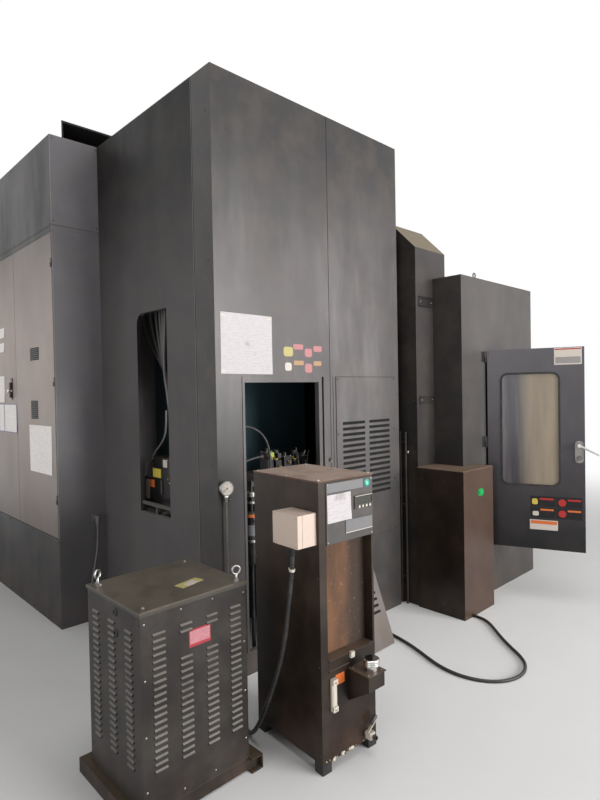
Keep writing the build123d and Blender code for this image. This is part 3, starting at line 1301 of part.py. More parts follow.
def cabinet_cable():
    """Cable from the cabinet's outlet down to the floor and along it to the transformer's back."""
    low = CABINET_CABLE_RADIUS + FLOOR_GAP
    return tube([(-77, 1347, 690), (-77, 1347, 610), (-84, 1344, 520), (-100, 1340, 430), (-118, 1342, 340),
                 (-134, 1346, 250), (-148, 1340, 165), (-162, 1318, 90), (-180, 1272, 34), (-200, 1200, low),
                 (-218, 1110, low), (-240, 1010, low), (-262, 905, low), (-276, 800, low), (-288, 690, low),
                 (-308, 580, low), (-340, 475, low), (-378, 372, low), (-419, 272, low), (-464, 174, low),
                 (-502, 80, low), (-528, 0, 24), (-542, -62, 64), (-545, -114, 92), (-545, -165, 92)],
                CABINET_CABLE_RADIUS)


def main():
    """Build every piece and write it to its own file."""
    os.makedirs("parts", exist_ok=True)
    write("front_panel_left", front_left_panel())
    write("front_panel_right", front_right_panel())
    write("louvred_cover", louvred_cover())
    write("loose_cover", loose_cover())
    write("left_panel", left_panel())
    write("side_sill", side_sill())
    right = COLUMN_WIDTH - PANEL
    write("right_panel", block(right, PANEL, 0, PANEL, COLUMN_DEPTH - PANEL, COLUMN_HEIGHT))
    roof_z = COLUMN_HEIGHT - ROOF_SETBACK - PANEL
    write("column_roof", block(PANEL, PANEL, roof_z, right - PANEL, COLUMN_DEPTH - PANEL, PANEL))
    write("service_frame", service_frame())
    write("column_casting", column_casting())
    write("side_cables", *side_cables())
    write("valve_manifold", manifold())
    write("service_hoses", *service_hoses())
    write("pressure_tank", pressure_tank())
    write("pump_motor", pump_motor())
    write("pressure_gauge", pressure_gauge())
    write("gauge_tube", gauge_tube())
    write("rear_housing", rear_housing())
    write("low_housing", low_housing())
    write("roof_hood", roof_hood())
    write("cabinet_plinth", cabinet_plinth())
    write("cabinet_top", cabinet_top())
    far_wall = COLUMN_DEPTH + HOUSING_DEPTH - CABINET_WALL
    write("cabinet_walls", cabinet_wall(COLUMN_DEPTH), cabinet_wall(far_wall))
    write("cabinet_back", cabinet_back())
    fixed_share = 0.5 - RUNNING_GAP / HINGE_LENGTH
    fixed = cabinet_knuckles(1, -1, 0, fixed_share) + cabinet_knuckles(-1, -1, 0, fixed_share)
    write("cabinet_hinges", *fixed)
    write("cabinet_door_near", cabinet_leaf(1) - leaf_grilles())
    write("cabinet_door_far", cabinet_leaf(-1))
    write("cabinet_handle", cabinet_handle())
    write("cabinet_gland", cabinet_gland())
    write("tower", tower())
    write("tower_straps", *tower_straps())
    write("tower_pipes", tower_pipes())
    write("magazine_front", magazine_front())
    write("magazine_sides", magazine_left(), magazine_right())
    write("magazine_back", magazine_back())
    write("magazine_roof", magazine_roof())
    write("door_hinges", *door_hinges())
    write("magazine_door", magazine_door())
    write("door_gasket", door_gasket())
    write("door_glass", door_glass())
    write("lock_plate", lock_plate())
    write("door_lever", door_lever())
    write("low_box", low_box())
    write("low_box_lamp", low_box_lamp())
    write("cooler_body", cooler_body())
    write("cooler_lid", cooler_lid())
    write("cooler_feet", *cooler_feet())
    write("cooler_screen", cooler_screen())
    write("cooler_control", cooler_control())
    write("cooler_filler", cooler_filler())
    write("breather_cap", breather_cap())
    write("cooler_fittings", *cooler_fittings())
    write("terminal_box", terminal_box())
    write("transformer_skid", transformer_skid())
    write("transformer_body", transformer_body())
    write("transformer_lid", transformer_lid())
    write("lifting_eyes", *lifting_eyes())
    write("cooler_conduit", cooler_conduit())
    write("floor_cable", floor_cable())
    write("cabinet_cable", cabinet_cable())


main()
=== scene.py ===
"""Looks of a horizontal machining centre with its oil cooler and transformer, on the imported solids.

Metres, +Z up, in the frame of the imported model: the origin is the near bottom corner of the tall
column enclosure, X runs to the right along its front face and Y runs away from it.
"""

import logging
import math
import random
from dataclasses import dataclass
from enum import Enum
from itertools import product

import bmesh
import bpy
from mathutils import Matrix, Vector


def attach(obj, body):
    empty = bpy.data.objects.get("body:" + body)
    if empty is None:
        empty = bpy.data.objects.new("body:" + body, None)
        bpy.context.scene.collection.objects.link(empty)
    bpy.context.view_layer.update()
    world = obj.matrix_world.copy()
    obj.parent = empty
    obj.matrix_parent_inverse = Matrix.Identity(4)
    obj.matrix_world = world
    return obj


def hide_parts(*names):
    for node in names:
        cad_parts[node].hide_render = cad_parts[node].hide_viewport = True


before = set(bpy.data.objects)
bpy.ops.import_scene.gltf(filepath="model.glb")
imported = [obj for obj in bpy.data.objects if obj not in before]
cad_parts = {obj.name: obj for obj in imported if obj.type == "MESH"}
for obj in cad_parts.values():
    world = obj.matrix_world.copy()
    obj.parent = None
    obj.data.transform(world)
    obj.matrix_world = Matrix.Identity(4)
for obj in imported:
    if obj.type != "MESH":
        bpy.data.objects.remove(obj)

Colour = tuple[float, float, float]
Point = tuple[float, float, float]

SHARP_ANGLE = math.radians(38)
BEVEL_ANGLE = math.radians(50)
BEVEL_SEGMENTS = 2
WELD_GAP = 0.00002
FIGURE_THICKNESS = 0.0002


def tone(red: int, green: int, blue: int) -> Colour:
    """Turn a colour as it is seen on a screen into linear values.

    Args:
        red: Red from 0 to 255.
        green: Green from 0 to 255.
        blue: Blue from 0 to 255.

    Returns:
        The three linear values, from 0 to 1.
    """
    shares = [value / 255 for value in (red, green, blue)]
    return tuple(s / 12.92 if s <= 0.04045 else ((s + 0.055) / 1.055) ** 2.4 for s in shares)


class Facing(Enum):
    """Direction that a detail looks in, away from what carries it."""

    FRONT = (0, -1, 0)
    LEFT = (-1, 0, 0)
    RIGHT = (1, 0, 0)
    BACK = (0, 1, 0)
    UP = (0, 0, 1)
    DOWN = (0, 0, -1)


class Drive(Enum):
    """Shape of a screw's head."""

    CROSS = "cross"
    HEX = "hex"
    SOCKET = "socket"


def grid(*axes: float | tuple[float, ...]) -> list[Point]:
    """List the points of a grid, the last axis changing fastest.

    Args:
        axes: One number or several numbers for each of X, Y and Z.

    Returns:
        The points.
    """
    return list(product(*(axis if isinstance(axis, tuple) else (axis,) for axis in axes)))


class Graph:
    """Nodes of one material, wired by short calls."""

    MIX_FIRST, MIX_SECOND, MIX_RESULT = 6, 7, 2
    NOISE_ROUGHNESS = 0.6

    def __init__(self, name: str) -> None:
        """Start a material with one principled shader.

        Args:
            name: The material's name.
        """
        self.material = bpy.data.materials.new(name)
        self.material.use_nodes = True
        self.tree = self.material.node_tree
        self.shader = self.tree.nodes["Principled BSDF"]
        self.coords = self.tree.nodes.new("ShaderNodeTexCoord").outputs["Object"]

    def put(self, socket: bpy.types.NodeSocket, value: object) -> None:
        """Link an output to a socket, or set the socket to a plain value."""
        if isinstance(value, bpy.types.NodeSocket):
            self.tree.links.new(value, socket)
        elif isinstance(value, tuple) and len(value) == 3 and socket.type == "RGBA":
            socket.default_value = (*value, 1)
        else:
            socket.default_value = value

    def shade(self, **values: object) -> None:
        """Set inputs of the principled shader, their names written with underscores."""
        for name, value in values.items():
            self.put(self.shader.inputs[name.replace("_", " ")], value)

    def noise(self, scale: float, detail: float = 4,
              stretch: Point = (1, 1, 1)) -> bpy.types.NodeSocket:
        """Make a noise over the object.

        Args:
            scale: Waves in a metre.
            detail: Octaves of finer noise.
            stretch: Share of the scale along each axis.

        Returns:
            The noise from 0 to 1.
        """
        mapping = self.tree.nodes.new("ShaderNodeMapping")
        self.put(mapping.inputs["Vector"], self.coords)
        mapping.inputs["Scale"].default_value = stretch
        texture = self.tree.nodes.new("ShaderNodeTexNoise")
        self.put(texture.inputs["Vector"], mapping.outputs["Vector"])
        texture.inputs["Scale"].default_value = scale
        texture.inputs["Detail"].default_value = detail
        texture.inputs["Roughness"].default_value = self.NOISE_ROUGHNESS
        return texture.outputs["Fac"]

    def bands(self, scale: float, axis: str, twist: float = 0.0) -> bpy.types.NodeSocket:
        """Make straight bands along one axis.

        Args:
            scale: Blender's scale of the bands.
            axis: X, Y or Z.
            twist: How far the bands wander.

        Returns:
            The bands from 0 to 1.
        """
        texture = self.tree.nodes.new("ShaderNodeTexWave")
        texture.bands_direction = axis
        texture.inputs["Scale"].default_value = scale
        texture.inputs["Distortion"].default_value = twist
        self.put(texture.inputs["Vector"], self.coords)
        return texture.outputs["Fac"]

    def spread(self, value: bpy.types.NodeSocket, low: float, high: float, first: float = 0.0,
               last: float = 1.0) -> bpy.types.NodeSocket:
        """Spread the range from low to high over first to last, and hold its ends."""
        node = self.tree.nodes.new("ShaderNodeMapRange")
        node.interpolation_type = "SMOOTHSTEP"
        self.put(node.inputs["Value"], value)
        for name, number in (("From Min", low), ("From Max", high), ("To Min", first),
                             ("To Max", last)):
            node.inputs[name].default_value = number
        return node.outputs["Result"]

    def math(self, operation: str, first: object, second: object) -> bpy.types.NodeSocket:
        """Work out one operation on two values."""
        node = self.tree.nodes.new("ShaderNodeMath")
        node.operation = operation
        self.put(node.inputs[0], first)
        self.put(node.inputs[1], second)
        return node.outputs[0]

    def times(self, first: object, second: object) -> bpy.types.NodeSocket:
        """Multiply two values."""
        return self.math("MULTIPLY", first, second)

    def mix(self, share: object, first: object, second: object) -> bpy.types.NodeSocket:
        """Mix two colours by a share."""
        node = self.tree.nodes.new("ShaderNodeMix")
        node.data_type = "RGBA"
        self.put(node.inputs["Factor"], share)
        self.put(node.inputs[self.MIX_FIRST], first)
        self.put(node.inputs[self.MIX_SECOND], second)
        return node.outputs[self.MIX_RESULT]

    def along(self, vector: bpy.types.NodeSocket, axis: str) -> bpy.types.NodeSocket:
        """Take one axis of a vector."""
        parts = self.tree.nodes.new("ShaderNodeSeparateXYZ")
        self.put(parts.inputs[0], vector)
        return parts.outputs[axis]

    def facing(self, axis: str) -> bpy.types.NodeSocket:
        """Give how far the surface looks along an axis, from -1 to 1."""
        geometry = self.tree.nodes.new("ShaderNodeNewGeometry")
        return self.along(geometry.outputs["Normal"], axis)

    def up_share(self) -> bpy.types.NodeSocket:
        """Give how far the surface looks up: 0 on walls, 1 on tops."""
        return self.spread(self.facing("Z"), 0.25, 0.85)

    def place(self, axis: str) -> bpy.types.NodeSocket:
        """Give the place along one axis in metres."""
        return self.along(self.coords, axis)

    def bump(self, height: bpy.types.NodeSocket, strength: float, distance: float) -> None:
        """Give the shader's normal a bump."""
        node = self.tree.nodes.new("ShaderNodeBump")
        node.inputs["Strength"].default_value = strength
        node.inputs["Distance"].default_value = distance
        self.put(node.inputs["Height"], height)
        self.put(self.shader.inputs["Normal"], node.outputs["Normal"])


MADE: dict[str, bpy.types.Material] = {}


@dataclass(frozen=True)
class Finish:
    """One surface finish. Its material is made once and shared."""

    name: str
    colour: Colour
    roughness: float = 0.45

    def material(self) -> bpy.types.Material:
        """Give the finish's material, made on first use.

        Returns:
            The Blender material.
        """
        if self.name not in MADE:
            graph = Graph(self.name)
            self.wire(graph)
            MADE[self.name] = graph.material
        return MADE[self.name]

    def tint(self, factor: float, lift: float = 0.0) -> Colour:
        """Give the finish's colour times a factor, lifted a little."""
        return tuple(min(1.0, c * factor + lift) for c in self.colour)

    def wire(self, graph: Graph) -> None:
        """Wire the finish's nodes."""
        cloud = graph.noise(14, 5)
        graph.shade(Base_Color=graph.mix(cloud, self.tint(0.82), self.tint(1.12)))
        graph.shade(Roughness=graph.spread(cloud, 0.2, 0.8, self.roughness * 0.85,
                                           min(1, self.roughness * 1.2)))


@dataclass(frozen=True)
class DustyPaint(Finish):
    """Satin machine paint with wiped smears, dust on its tops and dirt near the floor, and painted
    shade: darker low, high, at the near low corner and on faces that look left or to the front.
    """

    # Ranges over which the painted shade comes in: X and Z of the near low corner, heights for the
    # low and high shade, and facings for the left and front shade.
    CORNER_X, CORNER_Z = (0.2, 0.45), (1.7, 1.05)
    LOW_FADE, HIGH_FADE, SIDE_FADE = (1.9, 0.2), (1.9, 3.3), (-0.4, -0.6)

    dust: Colour = tone(140, 124, 110)
    top_dust: float = 0.5
    wall_dust: float = 0.1
    smears: float = 0.35
    floor_dirt: float = 0.3
    dirt: Colour = tone(92, 72, 60)
    rust: float = 0.0
    gloss: float = 0.3
    # Share of the colour left where painted shade falls: low down, at the near low corner, high up,
    # on faces that look left and on faces that look to the front.
    low_painted_shade: float = 1.0
    corner_painted_shade: float = 1.0
    high_painted_shade: float = 1.0
    left_painted_shade: float = 1.0
    front_painted_shade: float = 1.0

    def wire(self, graph: Graph) -> None:
        """Wire the paint's nodes."""
        cloud = graph.noise(0.9, 6)
        smear = graph.noise(2.2, 5, (1.6, 1.6, 0.35))
        grain = graph.noise(380, 2)
        colour = graph.mix(graph.spread(cloud, 0.3, 0.7), self.tint(0.86), self.tint(1.2))
        fine = graph.noise(7, 6, (1.5, 1.5, 0.3))
        wiped = graph.times(graph.spread(smear, 0.42, 0.66),
                            graph.spread(fine, 0.3, 0.7, 0.35, 1.0))
        wiped = graph.times(wiped, self.smears * 0.5)
        colour = graph.mix(wiped, colour, self.tint(1.7, 0.01))
        # Painted shadow: the near low corner of the front darker, where less light falls.
        if self.corner_painted_shade < 1:
            near = graph.spread(graph.place("X"), *self.CORNER_X, 1.0, 0.0)
            down = graph.spread(graph.place("Z"), *self.CORNER_Z)
            colour = graph.mix(graph.times(near, down), colour, self.tint(self.corner_painted_shade))
        # Painted shade: darker low and high on the walls, and on faces that look left or to the
        # front.
        for shade, source, axis, fade in (
                (self.low_painted_shade, graph.place, "Z", self.LOW_FADE),
                (self.high_painted_shade, graph.place, "Z", self.HIGH_FADE),
                (self.left_painted_shade, graph.facing, "X", self.SIDE_FADE),
                (self.front_painted_shade, graph.facing, "Y", self.SIDE_FADE)):
            if shade < 1:
                colour = graph.mix(graph.spread(source(axis), *fade), colour, self.tint(shade))
        veil = graph.times(graph.spread(graph.noise(5, 6), 0.35, 0.75), self.wall_dust)
        colour = graph.mix(veil, colour, self.dust)
        if self.rust:
            spots = graph.spread(graph.noise(7, 9), 0.6, 0.68)
            colour = graph.mix(graph.times(spots, self.rust), colour, tone(112, 62, 36))
        tops = graph.times(graph.up_share(), graph.spread(graph.noise(11, 7), 0.25, 0.6, 0.55, 1.0))
        tops = graph.times(tops, self.top_dust)
        colour = graph.mix(tops, colour, self.dust)
        low = graph.spread(graph.place("Z"), 0.0, 0.28, 1.0, 0.0)
        low = graph.times(low, graph.spread(graph.noise(9, 6, (1, 1, 0.5)), 0.35, 0.65))
        low = graph.times(low, self.floor_dirt)
        graph.shade(Base_Color=graph.mix(low, colour, self.dirt), Specular_IOR_Level=self.gloss)
        dull = graph.math("MAXIMUM", graph.times(tops, 0.9), low)
        rough = graph.spread(smear, 0.35, 0.75, self.roughness - 0.05, self.roughness + 0.1)
        graph.shade(Roughness=graph.math("MAXIMUM", rough, dull))
        graph.bump(grain, 0.12, 0.0006)


@dataclass(frozen=True)
class BareMetal(Finish):
    """Metal with fine scratches and some grime."""

    grime: float = 0.3
    scratch: Point = (1, 1, 12)

    def wire(self, graph: Graph) -> None:
        """Wire the metal's nodes."""
        lines = graph.noise(60, 3, self.scratch)
        spots = graph.spread(graph.noise(22, 6), 0.45, 0.7)
        graph.shade(Metallic=1.0)
        graph.shade(Base_Color=graph.mix(graph.times(spots, self.grime), self.colour,
                                         self.tint(0.3)))
        rough = graph.spread(lines, 0.3, 0.7, self.roughness * 0.8, self.roughness * 1.25)
        graph.shade(Roughness=graph.math("MAXIMUM", rough, graph.times(spots, self.grime)))
        graph.bump(lines, 0.06, 0.0004)


@dataclass(frozen=True)
class Moulded(Finish):
    """Moulded plastic or rubber with a fine grain and a thin veil of dust."""

    veil: float = 0.15
    ribs: float = 0.0

    def wire(self, graph: Graph) -> None:
        """Wire the plastic's nodes."""
        dust = graph.times(graph.spread(graph.noise(16, 6), 0.4, 0.7), self.veil)
        tops = graph.times(graph.up_share(), self.veil * 1.6)
        share = graph.math("MAXIMUM", dust, tops)
        graph.shade(Base_Color=graph.mix(share, self.colour, tone(132, 118, 106)))
        graph.shade(Roughness=graph.spread(share, 0.0, 0.5, self.roughness, 0.85))
        if self.ribs:
            graph.bump(graph.bands(self.ribs, "DIAGONAL"), 0.5, 0.002)
        else:
            graph.bump(graph.noise(600, 2), 0.08, 0.0004)


@dataclass(frozen=True)
class DustyScreen(Finish):
    """Woven filter screen, brown with dust that has settled in patches."""

    def wire(self, graph: Graph) -> None:
        """Wire the screen's nodes."""
        weave = graph.times(graph.bands(95, "X"), graph.bands(95, "Z"))
        patch = graph.spread(graph.noise(6, 8, (1.4, 1.4, 0.5)), 0.3, 0.62)
        side = graph.spread(graph.place("X"), 0.06, 0.13, 1.0, 0.1)
        patch = graph.times(side, graph.math("ADD", graph.times(patch, 0.6), 0.3))
        worn = graph.mix(patch, self.colour, tone(158, 112, 80))
        specks = graph.times(graph.spread(graph.noise(70, 3), 0.62, 0.72), 0.45)
        worn = graph.mix(specks, worn, tone(190, 170, 150))
        graph.shade(Base_Color=graph.mix(graph.spread(weave, 0.05, 0.5, 0.35, 1.0),
                                         tone(38, 30, 26), worn))
        graph.shade(Roughness=graph.spread(patch, 0, 1, 0.8, 0.95))
        graph.bump(weave, 0.6, 0.0015)


@dataclass(frozen=True)
class SmearedGlass(Finish):
    """Dusty pane that a little light passes, with painted light: darker on the hinge side, paler on
    the other.
    """

    haze: float = 0.3
    film: Colour = tone(176, 156, 132)

    def wire(self, graph: Graph) -> None:
        """Wire the glass's nodes."""
        smear = graph.noise(2.0, 5, (1, 1, 0.3))
        streak = graph.noise(9, 4, (1, 1, 0.08))
        # Painted light: the pale side's share grows away from the hinge, along the pane's Y.
        edge = graph.math("ADD", graph.place("Y"), graph.times(smear, 0.05))
        pale_side_painted_light = graph.times(graph.spread(edge, -0.67, -0.53, 1.0, 0.0),
                          graph.spread(streak, 0.3, 0.6, 0.75, 1.0))
        dark = graph.mix(graph.spread(streak, 0.35, 0.65), self.colour, tone(104, 98, 100))
        pale = graph.mix(graph.spread(smear, 0.3, 0.75), self.film, tone(172, 158, 136))
        graph.shade(Base_Color=graph.mix(pale_side_painted_light, dark, pale))
        graph.shade(Transmission_Weight=1 - self.haze, IOR=1.45)
        graph.shade(Roughness=graph.spread(smear, 0.3, 0.75, self.roughness, self.roughness + 0.08))


@dataclass(frozen=True)
class PrintedPaper(Finish):
    """Paper or film with faint ruled lines and handling marks."""

    lines: float = 0.2
    marks: float = 0.25
    coat: float = 0.0

    def wire(self, graph: Graph) -> None:
        """Wire the paper's nodes."""
        graph.shade(Coat_Weight=self.coat, Specular_IOR_Level=0.3)
        rule = graph.spread(graph.bands(34, "Z", 0.3), 0.8, 0.95)
        broken = graph.times(rule, graph.spread(graph.noise(26, 3, (1, 1, 3)), 0.45, 0.55))
        colour = graph.mix(graph.times(broken, self.lines), self.colour, tone(90, 92, 98))
        stain = graph.times(graph.spread(graph.noise(10, 8), 0.58, 0.75), self.marks)
        graph.shade(Base_Color=graph.mix(stain, colour, tone(120, 112, 104)))
        graph.shade(Roughness=graph.spread(stain, 0, 0.3, self.roughness, 0.7))


@dataclass(frozen=True)
class LitLens(Finish):
    """Coloured lens with a faint glow."""

    def wire(self, graph: Graph) -> None:
        """Wire the lens's nodes."""
        graph.shade(Base_Color=graph.mix(graph.noise(120, 2), self.colour, self.tint(1.4)))
        graph.shade(Roughness=graph.spread(graph.noise(40, 3), 0.3, 0.7, 0.15, 0.3))
        graph.shade(Emission_Color=self.colour, Emission_Strength=0.35, Coat_Weight=0.5)


# The enclosure paint with painted shadow at the near low corner of the front, for the front panel
# left of the seam.
CORNER_SHADED_FRONT_PAINT = DustyPaint("front_paint_corner_shadow", tone(98, 95, 95), 0.34, smears=1.6, wall_dust=0.12,
                         top_dust=0.4, low_painted_shade=0.5, high_painted_shade=0.3, left_painted_shade=0.4,
                         corner_painted_shade=0.25)
ENCLOSURE = DustyPaint("enclosure_paint", tone(98, 95, 95), 0.34, smears=1.6, wall_dust=0.14,
                       top_dust=0.4, low_painted_shade=0.5, high_painted_shade=0.3, left_painted_shade=0.4)
# Faces of the side panel that look to the front, the opening's jambs, get painted shade, and its top
# is darker by painted shade too.
SIDE_PAINT = DustyPaint("side_paint", tone(84, 82, 82), 0.42, smears=0.3, wall_dust=0.06,
                        gloss=0.15, high_painted_shade=0.1, front_painted_shade=0.12)
HOUSING_PAINT = DustyPaint("housing_paint", tone(88, 85, 85), 0.4, smears=0.4, wall_dust=0.12,
                           top_dust=0.4)
CABINET_FRONT = DustyPaint("cabinet_paint", tone(106, 104, 107), 0.4, smears=0.4, top_dust=0.4,
                           low_painted_shade=0.6, left_painted_shade=0.12)
# A paler tone than the cabinet front, which stands partly for painted light on the leaves, with
# painted shade low and high.
LEAF = DustyPaint("cabinet_leaf_paint", tone(160, 146, 139), 0.36, smears=0.4, wall_dust=0.15,
                  gloss=0.3, low_painted_shade=0.35, high_painted_shade=0.05)
HOOD_PAINT = DustyPaint("hood_paint", tone(34, 33, 33), 0.6, smears=0.1, gloss=0.15)
TOWER_PAINT = DustyPaint("tower_paint", tone(64, 60, 60), 0.45, dust=tone(128, 116, 92),
                         top_dust=0.85, gloss=0.2, low_painted_shade=0.1, left_painted_shade=0.4)
STRAP_PAINT = DustyPaint("strap_paint", tone(40, 38, 38), 0.5, top_dust=0.6, gloss=0.2)
MAGAZINE_PAINT = DustyPaint("magazine_paint", tone(72, 69, 68), 0.42, smears=0.6, top_dust=0.5,
                            low_painted_shade=0.7, left_painted_shade=0.45)
DOOR_PAINT = DustyPaint("door_paint", tone(88, 85, 90), 0.36, smears=0.25, wall_dust=0.05,
                        low_painted_shade=0.05)
LOW_BOX_PAINT = DustyPaint("low_box_paint", tone(78, 60, 51), 0.36, dust=tone(126, 106, 90),
                           top_dust=0.8, low_painted_shade=0.8, left_painted_shade=0.2, smears=1.2)
COOLER_PAINT = DustyPaint("cooler_paint", tone(54, 42, 33), 0.4, dust=tone(146, 122, 105),
                          top_dust=0.35, floor_dirt=0.4, dirt=tone(88, 54, 36), rust=0.1,
                          low_painted_shade=0.3)
COOLER_TOP = DustyPaint("cooler_top_paint", tone(84, 58, 44), 0.5, dust=tone(180, 160, 146),
                        top_dust=0.7, rust=0.9)
TRANSFORMER_PAINT = DustyPaint("transformer_paint", tone(54, 48, 46), 0.4, dust=tone(150, 143, 134),
                               top_dust=0.75, floor_dirt=0.25, low_painted_shade=0.5)
TRANSFORMER_TOP = DustyPaint("transformer_lid_paint", tone(66, 62, 57), 0.32,
                             dust=tone(122, 112, 96), top_dust=0.42, gloss=0.4, smears=1.2)
SKID_PAINT = DustyPaint("skid_paint", tone(34, 29, 25), 0.5, dust=tone(98, 84, 66), top_dust=0.6,
                        floor_dirt=0.35)
COVER_PAINT = DustyPaint("loose_cover_paint", tone(108, 101, 97), 0.4, smears=0.8)
CASTING = DustyPaint("casting_paint", tone(62, 86, 94), 0.5, smears=0.1, wall_dust=0.04)
BOX_PAINT = DustyPaint("box_paint", tone(24, 24, 25), 0.35, smears=0.1, top_dust=0.4,
                       dust=tone(96, 84, 70))
VALVE_BLOCK = DustyPaint("valve_block_paint", tone(30, 30, 31), 0.32, top_dust=0.5, rust=0.1)
PIPE_PAINT = DustyPaint("pipe_paint", tone(38, 34, 33), 0.4, top_dust=0.4)
STEEL = BareMetal("plain_steel", tone(176, 174, 170), 0.32, grime=0.35)
DARK_STEEL = BareMetal("blackened_steel", tone(86, 84, 82), 0.42, grime=0.4)
TUBE_METAL = BareMetal("browned_tube", tone(132, 124, 118), 0.45, grime=0.25)
LOCK_METAL = BareMetal("worn_lock_plate", tone(140, 137, 134), 0.5, grime=0.5)
ZINC = BareMetal("zinc_plate", tone(188, 186, 178), 0.38, grime=0.2)
CHROME = BareMetal("satin_chrome", tone(214, 212, 208), 0.16, grime=0.12, scratch=(1, 1, 1))
BRASS = BareMetal("brass", tone(120, 104, 76), 0.4, grime=0.5)
TAN_SEALANT = Moulded("tan_sealant", tone(148, 124, 96), 0.55, veil=0.2)
RUBBER = Moulded("black_rubber", tone(24, 24, 25), 0.6, veil=0.12)
CABLE_BLACK = Moulded("black_sheath", tone(20, 20, 22), 0.45, veil=0.12)
CABLE_GREY = Moulded("grey_sheath", tone(88, 88, 90), 0.5, veil=0.2)
HARNESS = Moulded("harness_sheath", tone(96, 94, 92), 0.42, veil=0.1)
HOSE = Moulded("hose_rubber", tone(46, 49, 51), 0.45, veil=0.15)
CONDUIT = Moulded("ribbed_conduit", tone(28, 28, 29), 0.42, veil=0.12, ribs=60)
GREY_PLASTIC = Moulded("grey_plastic", tone(96, 95, 94), 0.5, veil=0.2)
PALE_STRIP = Moulded("pale_strip", tone(112, 112, 114), 0.45, veil=0.2)
BEIGE_PLASTIC = Moulded("beige_plastic", tone(208, 188, 174), 0.38, veil=0.06)
IVORY_PLASTIC = Moulded("ivory_plastic", tone(206, 198, 184), 0.4, veil=0.15)
BLACK_PLASTIC = Moulded("black_plastic", tone(26, 26, 27), 0.35, veil=0.1)
HANDLE_PLASTIC = Moulded("handle_plastic", tone(34, 26, 40), 0.3, veil=0.05)
GREY_PANEL = Moulded("panel_grey", tone(66, 62, 60), 0.4, veil=0.1)
BAND_GREY = Moulded("band_grey", tone(146, 142, 140), 0.5, veil=0.2)
# Near-black for painted shadow: behind slots and grilles, on slot lips, round the cover and inside
# the hood.
PAINTED_SHADOW_BLACK = Moulded("deep_shadow", tone(9, 9, 10), 0.9, veil=0.02)
SCREEN = DustyScreen("filter_screen", tone(62, 49, 41), 0.85)
WINDOW = SmearedGlass("window_pane", tone(62, 56, 64), 0.12, haze=0.8, film=tone(150, 134, 112))
LAMP = LitLens("green_lens", tone(18, 140, 70), 0.2)
PAPER = PrintedPaper("white_paper", tone(196, 190, 191), 0.55, lines=0.3, marks=0.6)
LEAF_PAPER = PrintedPaper("leaf_paper", tone(250, 244, 240), 0.4, lines=0.3, marks=0.15)
VIOLET_LINE = PrintedPaper("violet_line", tone(120, 116, 176), 0.5, lines=0.0)
FILM_WHITE = PrintedPaper("white_film", tone(206, 196, 186), 0.35, lines=0.0, marks=0.15)
FILM_PINK = PrintedPaper("pinkish_film", tone(190, 128, 134), 0.35, lines=0.5, marks=0.2)
LABEL_RED = PrintedPaper("label_red", tone(168, 58, 66), 0.35, lines=0.0, marks=0.15)
CAP_GREEN = Moulded("cap_green", tone(150, 168, 58), 0.4, veil=0.1)
FILM_RED = PrintedPaper("red_film", tone(176, 46, 42), 0.35, lines=0.0, marks=0.15)
FILM_ORANGE = PrintedPaper("orange_film", tone(214, 112, 56), 0.35, lines=0.0, marks=0.15)
FILM_YELLOW = PrintedPaper("yellow_film", tone(206, 186, 78), 0.35, lines=0.0, marks=0.2)
# Black for print and film, and for painted shade in screw recesses and the lock's keyway.
BLACK_FILM_AND_PAINTED_SHADE = PrintedPaper("black_film_and_painted_shade", tone(24, 22, 24), 0.3, lines=0.0, marks=0.05)
FILM_TEAL = PrintedPaper("teal_film", tone(38, 150, 132), 0.3, lines=0.0, marks=0.05)
FILM_MINT = PrintedPaper("mint_film", tone(128, 210, 188), 0.3, lines=0.0, marks=0.05)
FILM_SILVER = PrintedPaper("silver_film", tone(118, 118, 120), 0.3, lines=0.35, marks=0.1)
FADED_PINK = PrintedPaper("faded_pink", tone(184, 126, 128), 0.45, lines=0.0, marks=0.8)
FADED_YELLOW = PrintedPaper("faded_yellow", tone(184, 172, 114), 0.45, lines=0.0, marks=0.8)
FADED_ORANGE = PrintedPaper("faded_orange", tone(176, 142, 108), 0.45, lines=0.0, marks=0.8)
# Pale strips of painted highlight along edges that catch the light.
PAINTED_EDGE_HIGHLIGHT = DustyPaint("painted_edge_highlight", tone(150, 146, 142), 0.4, smears=0.2)
DIAL = PrintedPaper("dial_face", tone(254, 243, 232), 0.4, lines=0.0, marks=0.03, coat=0.3)
DISPLAY = PrintedPaper("display_window", tone(66, 66, 58), 0.2, lines=0.4, marks=0.0)

Field = tuple[float, float, float, float, Finish]
Plate = tuple[Point, float, float, float, Finish, float]
FRONT_FIELDS: tuple[Field, ...] = (
    (.00, .56, .23, .33, FADED_YELLOW), (.24, .81, .25, .19, FADED_PINK),
    (.53, .56, .19, .30, FADED_PINK), (.76, .76, .23, .21, FADED_PINK),
    (.03, .06, .16, .28, FILM_WHITE), (.25, .26, .25, .16, FADED_ORANGE),
    (.53, .00, .19, .32, FADED_PINK), (.76, .25, .21, .17, FADED_ORANGE))
DOOR_FIELDS: tuple[Field, ...] = (
    (.04, .60, .11, .26, FILM_YELLOW), (.19, .82, .27, .08, FILM_RED),
    (.56, .58, .12, .30, FILM_RED), (.72, .82, .25, .08, FILM_RED),
    (.05, .10, .12, .20, FILM_WHITE), (.20, .34, .26, .08, FILM_ORANGE),
    (.56, .09, .12, .30, FILM_RED), (.72, .34, .25, .08, FILM_ORANGE))


